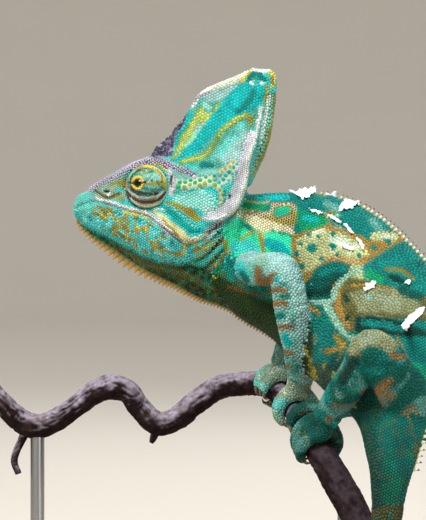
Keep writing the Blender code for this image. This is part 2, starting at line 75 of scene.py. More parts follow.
HEAD_TOP = np.array([
    (-27.6, -6.6), (-26.8, -4.6), (-25.4, -2.9), (-22.9, -2.1), (-20.1, 0.1), (-15.9, 2.6), (-10.4, 5.7),
    (-5.9, 8.2), (-1.5, 9.8), (1.2, 11.2), (2.9, 14.6), (5.2, 16.6), (7.9, 18.7), (9.9, 21.5), (13.5, 25.9),
    (16.3, 30.4), (18.5, 33.7), (22, 36.5), (26.3, 38.4), (30.7, 40.1), (35.2, 42.1), (38.2, 44),
    (41.8, 43.5), (45.2, 43.5), (46.8, 42.4), (47.8, 40),
])
HEAD_BOTTOM = np.array([
    (-27.6, -11), (-26.5, -12.8), (-24, -16), (-20, -19.5), (-15, -22.5), (-10, -26), (-5, -29), (0, -32),
    (5, -34.5), (10, -36.7), (15, -39.6), (20, -42), (25, -43.5), (30, -45.6), (31.5, -36), (33.5, -18),
    (35, -7), (38.3, 0.2), (41, 6), (43.2, 10.4), (44.9, 16), (46, 21), (46.8, 26.5), (47.4, 32),
    (47.8, 37.5),
])
# Half widths of the head's cross sections: x: ((z, half width), ...) from the top down.
HEAD_SECTIONS = {
    -27: ((-5, 2.4), (-9, 2.6), (-12, 1.6)), -24: ((-3, 4.2), (-6, 5.6), (-10, 5.4), (-14, 2.4)),
    -20: ((-1, 6), (-5, 7.3), (-10, 7.4), (-15, 4.8), (-18.5, 1.7)),
    -15: ((1.5, 7.6), (-3, 8.6), (-7, 9.2), (-12, 9.2), (-17, 6.6), (-21, 2)),
    -10: ((4.5, 9.4), (0, 9.6), (-8, 10.8), (-14, 10.6), (-20, 6.8), (-25, 1.7)),
    -3: ((8, 11.2), (0, 11.4), (-10, 12.2), (-17, 12), (-24, 7.8), (-30, 1.9)),
    4: ((15, 1.6), (12, 5), (8.5, 11.6), (0, 13.2), (-10, 14), (-18, 13.4), (-26, 9.5), (-32, 3)),
    12: ((23, 1.5), (17, 4), (11, 8), (5, 13.8), (-5, 15.6), (-15, 15.4), (-22, 14), (-30, 9), (-36, 2.8)),
    20: ((34, 1.4), (27, 3.4), (20, 6.4), (12, 10.3), (3, 15.6), (-6, 16.6), (-16, 16), (-25, 13),
        (-41, 2.8)),
    28: ((38, 1.3), (32, 3.6), (24, 7), (15, 10.8), (4, 15), (-5, 15.8), (-12, 15), (-25, 12.5), (-44, 3)),
    36: ((41, 1.5), (35, 4), (28, 7.2), (18, 10.6), (8, 13.2), (0, 13.8), (-5, 12.5)),
    41.5: ((43, 1.8), (36, 4), (28, 6.8), (20, 7.2), (12, 5.5), (7, 1.6)),
    46.5: ((42, 1.8), (35, 2.4), (28, 1.8)),
}
HEAD_START, HEAD_LENGTH, EDGE_ROUND = -27.6, 75.4, 2.4
NOSTRIL = (-15.2, -2.3)
EYE_RADII = np.array([8.1, 7.7, 8.3])
EYE_CENTRE = np.array([0.15, 9.6, -0.75])

# Stations of the trunk: back x, belly x, y, back z, belly z, half width.
TRUNK = [
    (26, 24, 0, -4, -38, 10), (39, 33, 0, -3, -48, 12.5), (53.8, 46.9, -4, -2.6, -56.8, 14),
    (67.3, 55.5, -12, -3.9, -65.4, 14.6), (81.8, 61.6, -27, -11.1, -70.4, 14.6),
    (94.6, 66.4, -44, -24.2, -76, 14), (104.9, 70.9, -61, -40.8, -80.3, 13),
    (104.9, 73.4, -76, -63.9, -84.6, 11), (94.7, 74.4, -87, -81, -91.6, 9),
    (89.7, 74.8, -93, -93.6, -98, 7.2), (85.9, 75.4, -96, -105.6, -107.3, 5.6),
]
TAIL_TOP = [
    (82, -93.5, -99, 4.6), (80.5, -96.2, -107, 5.3), (79, -97, -118, 4.8), (78, -97, -132, 4.5),
    (77.4, -97, -148, 4.1),
]
COIL_CENTRE = (51.0, -97.0, -172.0)
COIL_RADIUS, COIL_PITCH, COIL_TURNS = 26.0, 10.6, 1.65
TAIL_RADIUS, TAIL_TIP_RADIUS = 3.9, 1.3

# Branch centre line: x, y, z, radius.
BRANCH = [
    (-60, 8, -75.6, 4), (-53.5, 8, -82.6, 4), (-47.6, 8, -87.8, 4.2), (-41.6, 8, -89.7, 4.5),
    (-34, 8, -87, 4.2), (-27, 8, -82.3, 4), (-20, 8.2, -77.2, 4.2), (-13.5, 8.8, -75.1, 4.6),
    (-7.6, 9.3, -77.2, 4.3), (-3.4, 9.8, -83, 4.1), (2.6, 10, -88.6, 4.6), (10, 10.3, -87.2, 4.4),
    (17.8, 11.3, -81, 4.4), (25.6, 12.9, -75.6, 4.5), (34, 11.6, -73.9, 4.5), (41.5, 7, -73.7, 4.4),
    (47, 0.5, -75.5, 4.3), (50.7, -7.5, -78.4, 4.3), (53.4, -16.5, -81.2, 4.3), (55.6, -27, -83.9, 4.3),
    (57.2, -38.5, -86.1, 4.4), (58.2, -50, -87.8, 4.5), (59.2, -62, -90, 4.6), (62.5, -70, -96.5, 4.7),
    (68, -76.5, -105.5, 4.8), (72.5, -82, -115, 4.8), (75.5, -86, -123, 4.7),
]
TWIG = [
    (-45.6, 8, -90.5, 1.9), (-47.6, 8, -95, 1.5), (-49.6, 8, -99.5, 1.35), (-50.2, 8, -103.2, 1.3),
    (-48.6, 8, -107.3, 1.2),
]
NUB = [(3.2, 10, -90, 2), (1.8, 10, -94, 1.5), (0.9, 10, -96, 0.9)]

# Limbs: joints (x, y, z, radius) from the body to the wrist, the foot's station on the branch and the
# number of toes on its two sides.
LIMBS = {
    "fore_left": ([(36, -6, -30, 6.5), (41.5, -22, -31, 6.1), (48.7, -37, -31.5, 6.2),
        (51.5, -38, -44.3, 6.2), (53.8, -34, -57, 5.7), (55.4, -24.5, -69.2, 4.9)], 18.2, (2, 3)),
    "fore_right": ([(38, 5, -31, 6.5), (47.5, 19, -35, 6), (57, 30, -40.5, 6), (56.5, 27.5, -49, 6),
        (53.5, 21, -58, 5.3), (50, 10.5, -65.8, 4.6)], 15.9, (3, 2)),
    "hind_left": ([(90, -80, -78, 9.5), (84, -89, -67, 8.2), (75.5, -97, -56, 6.8), (71.5, -89, -63.5, 6.1),
        (66.5, -78, -72, 5.6), (62.2, -67.5, -80.5, 5)], 22, (3, 2)),
    "hind_right": ([(91, -77, -80, 9), (95, -62, -77, 7.6), (97, -45, -73.5, 6.6), (87, -38.5, -75.5, 6),
        (75, -33.5, -77.5, 5.2), (65, -34, -79.5, 4.7)], 20, (2, 3)),
}
TOE_ANGLES = (8, 42, 78, 112, 136)
TOE_RADII = (3.1, 2.5, 2.25, 2.0, 1.6)
TOE_STEP = 3.3
PALM_RADIUS = 4.6
CLAW_RADIUS = 0.72
GULAR_PARTS, GULAR_SIZES = (0, 0.12, 0.26, 0.5, 0.75, 1), (0.5, 0.85, 1.3, 0.85, 0.6, 0.4)
GULAR_HEIGHT, BACK_HEIGHT, BACK_SPINES, BARE_NAPE = 2.4, 1.84, 75, 58
BASE_CORNER, BASE_EDGE, ROD_RADIUS = 16.0, 2.0, 2.6

# Numbers that mark which body a point of the skin belongs to. A limb's palm is its number + 1, and its
# toes follow.
HEAD, TRUNK_BODY, TAIL = 1, 2, 3
LIMB_STEP = 10
LIMB_BODIES = {"fore_left": 10, "fore_right": 20, "hind_left": 30, "hind_right": 40}
FLESH = [
    "head", "casque", "lower_jaw", "trunk", "tail_base", "tail_middle", "tail_outer_coil", "tail_inner_coil",
] + [
    f"{part}_{side}" for side in ("left", "right")
    for part in ("upper_arm", "forearm", "hand", "thigh", "shin", "foot")
]


def linear(code):
    """The linear colour of a six-digit hexadecimal one."""
    value = np.array([int(code[k:k + 2], 16) for k in (0, 2, 4)]) / 255
    return np.where(value <= 0.04045, value / 12.92, ((value + 0.055) / 1.055) ** 2.4)


def tint(name, description, code):
    return bpy.props.FloatVectorProperty(
        name=name, description=description, default=tuple(linear(code)), size=3, min=0, max=1, subtype="COLOR"
    )


def length(name, description, millimetres):
    return bpy.props.FloatProperty(
        name=name, description=description, default=millimetres * MM, min=0, precision=5, unit="LENGTH"
    )


def power(name, description, watts):
    return bpy.props.FloatProperty(name=name, description=description, default=watts, unit="POWER")


class HideColours(bpy.types.PropertyGroup):
    aqua: tint("Aqua", "Ground colour of the head and jaw", "3fc4bd")
    pale: tint("Pale aqua", "Cheek, casque side and forearm", "8fdcd0")
    turquoise: tint("Turquoise", "Bright bands of the casque and shoulder", "04aaa8")
    teal: tint("Teal", "Ground colour of the back", "037c73")
    # Deep teal also lays painted shade in the neck's fold grooves and on the hind feet.
    deep: tint("Deep teal", "Dark flank and shin", "033a31")
    green: tint("Green", "Green patches of the neck and flank", "0c9a66")
    forest: tint("Forest green", "Throat and belly", "243a18")
    gold: tint("Gold", "Stripes, blotches and rings", "9e9430")
    yellow: tint("Yellow", "Bright yellow edges", "d2c452")
    ochre: tint("Ochre", "Orange-brown borders and bars", "9b7d38")
    cream: tint("Cream", "Pale bands of the flank", "dae0c0")
    white: tint("White", "Casque edge and flap", "e4e8e2")
    lilac: tint("Lilac grey", "Brow and lips", "a9a3b2")
    plum: tint("Plum", "Granules on the front of the casque", "3d3750")
    olive: tint("Olive", "Thigh, foot and tail", "5d5c30")
    brown: tint("Brown", "Dots of the neck's net", "6d4a16")
    # Night also lays painted shade in the nostril, beneath the belly, toward the hips and over the tail.
    night: tint("Night", "Deepest grooves", "14201c")


class HideSizes(bpy.types.PropertyGroup):
    voxel: length("Skin cell", "Size of a cell of the skin mesh", 0.68)
    coat: length("Coat depth", "How far the skin lies inside the flesh solids", 0.34)
    body_scale: length("Body scale", "Spacing of the granules on the trunk", 0.9)
    head_scale: length("Head scale", "Spacing of the granules on the head", 0.78)
    foot_scale: length("Foot scale", "Spacing of the granules on the feet", 0.74)
    eye_scale: length("Lid scale", "Spacing of the granules on the eye turrets", 0.45)


class PerchSettings(bpy.types.PropertyGroup):
    # The bark's light colour is painted light on the branch's upper side, and its dark one is painted shade
    # on the underside.
    bark_light: tint("Bark light", "Weathered upper side of the branch", "9d92a0")
    bark_dark: tint("Bark dark", "Shaded underside of the branch", "1e1012")
    bark_ridge: length("Bark ridge", "Depth of the grooves in the bark", 0.85)
    wood: tint("Wood", "Oiled wood of the base", "7c5230")
    wood_dark: tint("Wood grain", "Dark grain of the base", "3b2413")
    steel: tint("Steel", "Brushed steel of the rods", "b4b4b6")


class StageSettings(bpy.types.PropertyGroup):
    floor: tint("Floor", "Plain pale floor and backdrop", "d6d0c6")
    key: power("Key light", "Power of the key light", 52.0)
    fill: power("Fill light", "Power of the fill light", 8.0)
    rim: power("Rim light", "Power of the light behind", 10.0)


# ---------------------------------------------------------------- shapes


def coarser(size):
    return size * 1


def world(points):
    """Places in metres of points in millimetres from the eye line."""
    return (np.asarray(points, float) + EYE) * MM


def along(rows, t):
    """Smooth reading of a table of stations at t, counted in stations; t may be an array."""
    rows = np.asarray(rows, float)
    t = np.clip(np.asarray(t, float), 0, len(rows) - 1)
    i = np.minimum(t.astype(int), len(rows) - 2)
    f = (t - i)[..., None]
    p1, p2 = rows[i], rows[i + 1]
    before, after = rows[np.maximum(i - 1, 0)], rows[np.minimum(i + 2, len(rows) - 1)]
    m1 = np.where((i > 0)[..., None], (p2 - before) / 2, p2 - p1)
    m2 = np.where((i + 2 < len(rows))[..., None], (after - p1) / 2, p2 - p1)
    return (
        (2 * f**3 - 3 * f**2 + 1) * p1 + (f**3 - 2 * f**2 + f) * m1
        + (3 * f**2 - 2 * f**3) * p2 + (f**3 - f**2) * m2
    )


def unit(vectors):
    return vectors / np.maximum(np.linalg.norm(vectors, axis=-1, keepdims=True), 1e-12)


def step(value, low, high):
    """Rises smoothly from 0 at low to 1 at high."""
    f = np.clip((value - low) / (high - low), 0, 1)
    return f * f * (3 - 2 * f)


def bell(value, middle, wide):
    """A smooth bump of height 1 round middle."""
    return np.exp(-((value - middle) / wide) ** 2)


MARKS = ("body", "run", "turn")


def rolled(bm, around, count, place, body=0):
    """Rolls a grid into a closed tube: place(turn, run) gives the points, both from 0 to 1."""
    layers = [bm.verts.layers.float.get(name) or bm.verts.layers.float.new(name) for name in MARKS]
    verts = bmesh.ops.create_grid(bm, x_segments=around, y_segments=count, size=0.5)["verts"]
    grid = np.array([vert.co[:2] for vert in verts]) + 0.5
    turn = np.where(grid[:, 0] > 0.9999, 0.0, grid[:, 0])
    for vert, spot, at, run in zip(verts, world(place(turn, grid[:, 1])), turn, grid[:, 1]):
        vert.co = spot
        for layer, value in zip(layers, (body, run, at)):
            vert[layer] = value
    bmesh.ops.remove_doubles(bm, verts=verts, dist=1e-7)
    rims = [edge for edge in bm.edges if edge.is_boundary]
    bmesh.ops.holes_fill(bm, edges=rims, sides=0)


def marks_of(bm, *names):
    """What rolled noted at each vertex."""
    layers = [bm.verts.layers.float[name] for name in names]
    return np.array([[vert[layer] for layer in layers] for vert in bm.verts])


def tube_place(rows, reference=None, shape=None):
    """place(turn, run) of a round tube through the rows (x, y, z, radius)."""
    rows = np.asarray(rows, float)
    if reference is None:
        reference = np.eye(3)[int(np.argmin(np.abs(rows[-1, :3] - rows[0, :3])))]
    last = len(rows) - 1

    def place(turn, run):
        t = run * last
        row = along(rows, t)
        ahead = unit(along(rows, t + 0.02)[:, :3] - along(rows, t - 0.02)[:, :3])
        side = unit(np.cross(ahead, reference))
        up = np.cross(side, ahead)
        angle = 2 * math.pi * turn[:, None]
        radius = row[:, 3:] if shape is None else row[:, 3:] + shape(turn, run)[:, None]
        return row[:, :3] + radius * (np.cos(angle) * up + np.sin(angle) * side)

    return place


def tube(bm, rows, around, per_station, body=0, reference=None, shape=None):
    rolled(bm, around, per_station * (len(rows) - 1), tube_place(rows, reference, shape), body)


def width_field():
    """A smooth reading of HEAD_SECTIONS: the half width at any (x, z) of the head (thin plate)."""
    known = np.array([(x, z, w) for x, row in HEAD_SECTIONS.items() for z, w in row], float)
    spots = known[:, :2]

    def bend(points):
        gap = np.linalg.norm(points[:, None] - spots[None], axis=2)
        return np.where(gap > 0, gap**2 * np.log(np.maximum(gap, 1e-9)), 0.0)

    n = len(spots)
    flat = np.c_[np.ones(n), spots]
    system = np.block([[bend(spots) + np.eye(n) * 2.0, flat], [flat.T, np.zeros((3, 3))]])
    solved = np.linalg.solve(system, np.r_[known[:, 2], 0, 0, 0])
    return lambda x, z: bend(np.c_[x, z]) @ solved[:n] + np.c_[np.ones(len(x)), x, z] @ solved[n:]


head_half_width = width_field()


def head_place(turn, run):
    x = HEAD_START + HEAD_LENGTH * run
    high, low = np.interp(x, *HEAD_TOP.T), np.interp(x, *HEAD_BOTTOM.T)
    angle = 2 * math.pi * turn
    z = (high + low) / 2 + (high - low) / 2 * np.cos(angle)
    edge = np.minimum(1.0, np.sqrt(np.maximum(0.0, np.minimum(high - z, z - low)) / EDGE_ROUND))
    y = np.copysign(np.maximum(0.5, head_half_width(x, z)) * edge, np.sin(angle))
    return np.c_[x, np.where((turn == 0) | (abs(turn - 0.5) < 1e-6), 0.0, y), z]


def trunk_frame(t):
    """Centre, half height vector and half width vector of the trunk at station t."""
    def middle(s):
        row = along(TRUNK, s)
        return np.stack([(row[..., 0] + row[..., 1]) / 2, row[..., 2], (row[..., 3] + row[..., 4]) / 2], -1)

    t = np.asarray(t, float)
    row = along(TRUNK, t)
    up = np.stack([(row[..., 0] - row[..., 1]) / 2, 0 * t, (row[..., 3] - row[..., 4]) / 2], -1)
    side = unit(np.cross(middle(t + 0.05) - middle(t - 0.05), up))
    return middle(t), up, row[..., 5:6] * side


def trunk_place(turn, run):
    centre, up, side = trunk_frame(run * (len(TRUNK) - 1))
    angle = (2 * math.pi * turn)[:, None]
    swell = np.abs(np.sin(angle)) ** 0.84 * (1 - 0.26 * np.cos(angle))
    return centre + up * np.cos(angle) + side * np.copysign(swell, np.sin(angle))


def tail_rows():
    rows = list(TAIL_TOP)
    steps = round(COIL_TURNS * 16)
    x, y, z = COIL_CENTRE
    for k in range(steps + 1):
        turns = COIL_TURNS * k / steps
        reach, angle = COIL_RADIUS - COIL_PITCH * turns, -2 * math.pi * turns
        radius = TAIL_RADIUS + (TAIL_TIP_RADIUS - TAIL_RADIUS) * (k / steps) ** 0.9
        rows.append((x + reach * math.cos(angle), y, z + reach * math.sin(angle), radius))
    return rows


def branch_way(t):
    return along(BRANCH, t + 0.05)[:3] - along(BRANCH, t - 0.05)[:3]


def foot_frame(t, ankle, centre=None):
    """Place, radius, way up to the ankle and way across at station t of the branch, for a foot centred
    at station centre."""
    row = along(BRANCH, t)
    run = unit(branch_way(t))
    up = np.asarray(ankle[:3], float) - along(BRANCH, t if centre is None else centre)[:3]
    up = unit(up - run * up.dot(run))
    return row[:3], row[3], up, np.cross(run, up)


def around_branch(foot, way, degrees, reach):
    """A point beside the branch, that many degrees round from the top and reach from its surface."""
    spot, thick, up, across = foot
    a = math.radians(degrees)
    return spot + (thick + reach) * (math.cos(a) * up + way * math.sin(a) * across)


def toes(index, ankle, counts):
    """Each toe's rows (x, y, z, radius), its foot's frame and its side of the branch."""
    made = []
    for way, count in zip((1, -1), counts):
        for k in range(count):
            lane = (k - (count - 1) / 2) * TOE_STEP + 0.5 * way
            spacing = 10 * np.linalg.norm(branch_way(index))
            foot = foot_frame(index + lane / spacing, ankle, index)
            rows = [
                (*around_branch(foot, way, angle, GAP + radius * 0.97), radius)
                for angle, radius in zip(TOE_ANGLES, TOE_RADII)
            ]
            made.append((rows, foot, way))
    return made


def belly_line():
    """The crest line of the throat and belly, from the chin back."""
    line = [(x, 0.0, z) for x, z in HEAD_BOTTOM if -27 < x <= 25]
    for t in np.arange(0.8, 2.3, 0.25):
        centre, up, _ = trunk_frame(t)
        line.append(tuple(centre - up))
    return np.array(line)


def back_line():
    return np.array([sum(trunk_frame(t)[:2]) for t in np.arange(1.0, 9.4, 0.2)])


def spread(line, count):
    """Evenly spaced places on a polyline, with its direction at each."""
    lengths = np.r_[0, np.cumsum(np.linalg.norm(np.diff(line, axis=0), axis=1))]
    for k in range(count):
        at = lengths[-1] * (k + 0.5) / count
        here, ahead, behind = (
            np.array([np.interp(s, lengths, line[:, c]) for c in range(3)]) for s in (at, at + 0.5, at - 0.5)
        )
        yield k / (count - 1), here, unit(ahead - behind)


# Random values at the corners of the cells of the noise.
CELLS = 32
LATTICE = np.random.default_rng(11).uniform(-1, 1, (CELLS, CELLS, CELLS))


def noise(points, size, octaves=2, seed=0):
    """Smooth noise from -1 to 1 at points, with features about size across."""
    points = np.asarray(points, float)
    total = np.zeros(len(points))
    for octave in range(octaves):
        at = points / size * 2**octave + 7.3 * (seed + octave)
        cell = np.floor(at).astype(int)
        f = at - cell
        f = f * f * (3 - 2 * f)
        for corner in range(8):
            ahead = np.array([corner & 1, corner >> 1 & 1, corner >> 2])
            weight = np.prod(np.where(ahead, f, 1 - f), axis=1)
            total += 0.5**octave * weight * LATTICE[tuple(((cell + ahead) % CELLS).T)]
    return total


# ---------------------------------------------------------------- where a point lies on the animal

def side_view(points):
    """Places (x, z) of points as they look from the left side, on the plane of the eye line."""
    near = -VIEW_FROM[1] / (points[:, 1] - VIEW_FROM[1])
    return np.stack([VIEW_FROM[k] + (points[:, k] - VIEW_FROM[k]) * near for k in (0, 2)], 1)


def flattened(points, body, run, turn):
    """Places in side view, with the right side of head and trunk folded onto the left, so both carry
    the same markings."""
    left = points.copy()
    on_head = body == HEAD
    left[on_head, 1] = -np.abs(left[on_head, 1])
    far = (body == TRUNK_BODY) & (turn > 0.5)
    left[far] = trunk_place(1 - turn[far], run[far])
    return side_view(left)


def search_tree(points):
    tree = KDTree(len(points))
    for k, spot in enumerate(points):
        tree.insert(spot, k)
    tree.balance()
    return tree


def nearest_marks(points, source, marks):
    """Body, run and turn at each point, blended from the four nearest source vertices of one body."""
    tree = search_tree(source)
    near = [tree.find_n(spot, 4) for spot in points]
    found, gaps = (np.array([[n[k] for n in row] for row in near]) for k in (1, 2))
    body, run, turn = marks.T
    own = body[found[:, :1]]
    weight = (body[found] == own) / (gaps + 0.05 * MM) ** 2
    weight /= weight.sum(1, keepdims=True)
    angle = 2 * math.pi * turn[found]
    turned = np.arctan2((weight * np.sin(angle)).sum(1), (weight * np.cos(angle)).sum(1)) / (2 * math.pi)
    return own[:, 0], (weight * run[found]).sum(1), turned % 1


def off_line(places, a, b):
    """Distance of places from the straight line a to b, and how far along it they are."""
    run = b - a
    t = np.clip((places - a) @ run / max(run @ run, 1e-9), 0, 1)
    return np.hypot(*(places - a - t[:, None] * run).T), t


def reach(places, line):
    """Distance of places (x, z) from the surface of a stroke whose points are (x, z, half width)."""
    line = np.asarray(line, float)
    if len(line) == 1:
        return np.hypot(*(places - line[0, :2]).T) - line[0, 2]
    if len(line) > 2:
        line = along(line, np.linspace(0, len(line) - 1, 4 * len(line)))
    best = np.full(len(places), 1e9)
    for a, b in zip(line[:-1], line[1:]):
        gap, t = off_line(places, a[:2], b[:2])
        best = np.minimum(best, gap - a[2] - (b[2] - a[2]) * t)
    return best


def inside(places, outline):
    """Distance of places from a closed outline, negative inside it."""
    outline = np.asarray(outline, float)
    odd = np.zeros(len(places), bool)
    best = np.full(len(places), 1e9)
    for a, b in zip(outline, np.roll(outline, -1, axis=0)):
        best = np.minimum(best, off_line(places, a, b)[0])
        if a[1] != b[1]:
            crossed = places[:, 0] < a[0] + (places[:, 1] - a[1]) * (b - a)[0] / (b - a)[1]
            odd ^= ((places[:, 1] < a[1]) != (places[:, 1] < b[1])) & crossed
    return np.where(odd, -best, best)


# ---------------------------------------------------------------- markings
# Each mark is (colour, softness, points, half width): points (x, z) with a half width make a stroke that
# tapers to its ends, points (x, z, half width) a stroke of given widths or a round spot, and points (x, z)
# alone a closed patch. "a/b" gives scales a centre of colour a inside a rim of colour b.

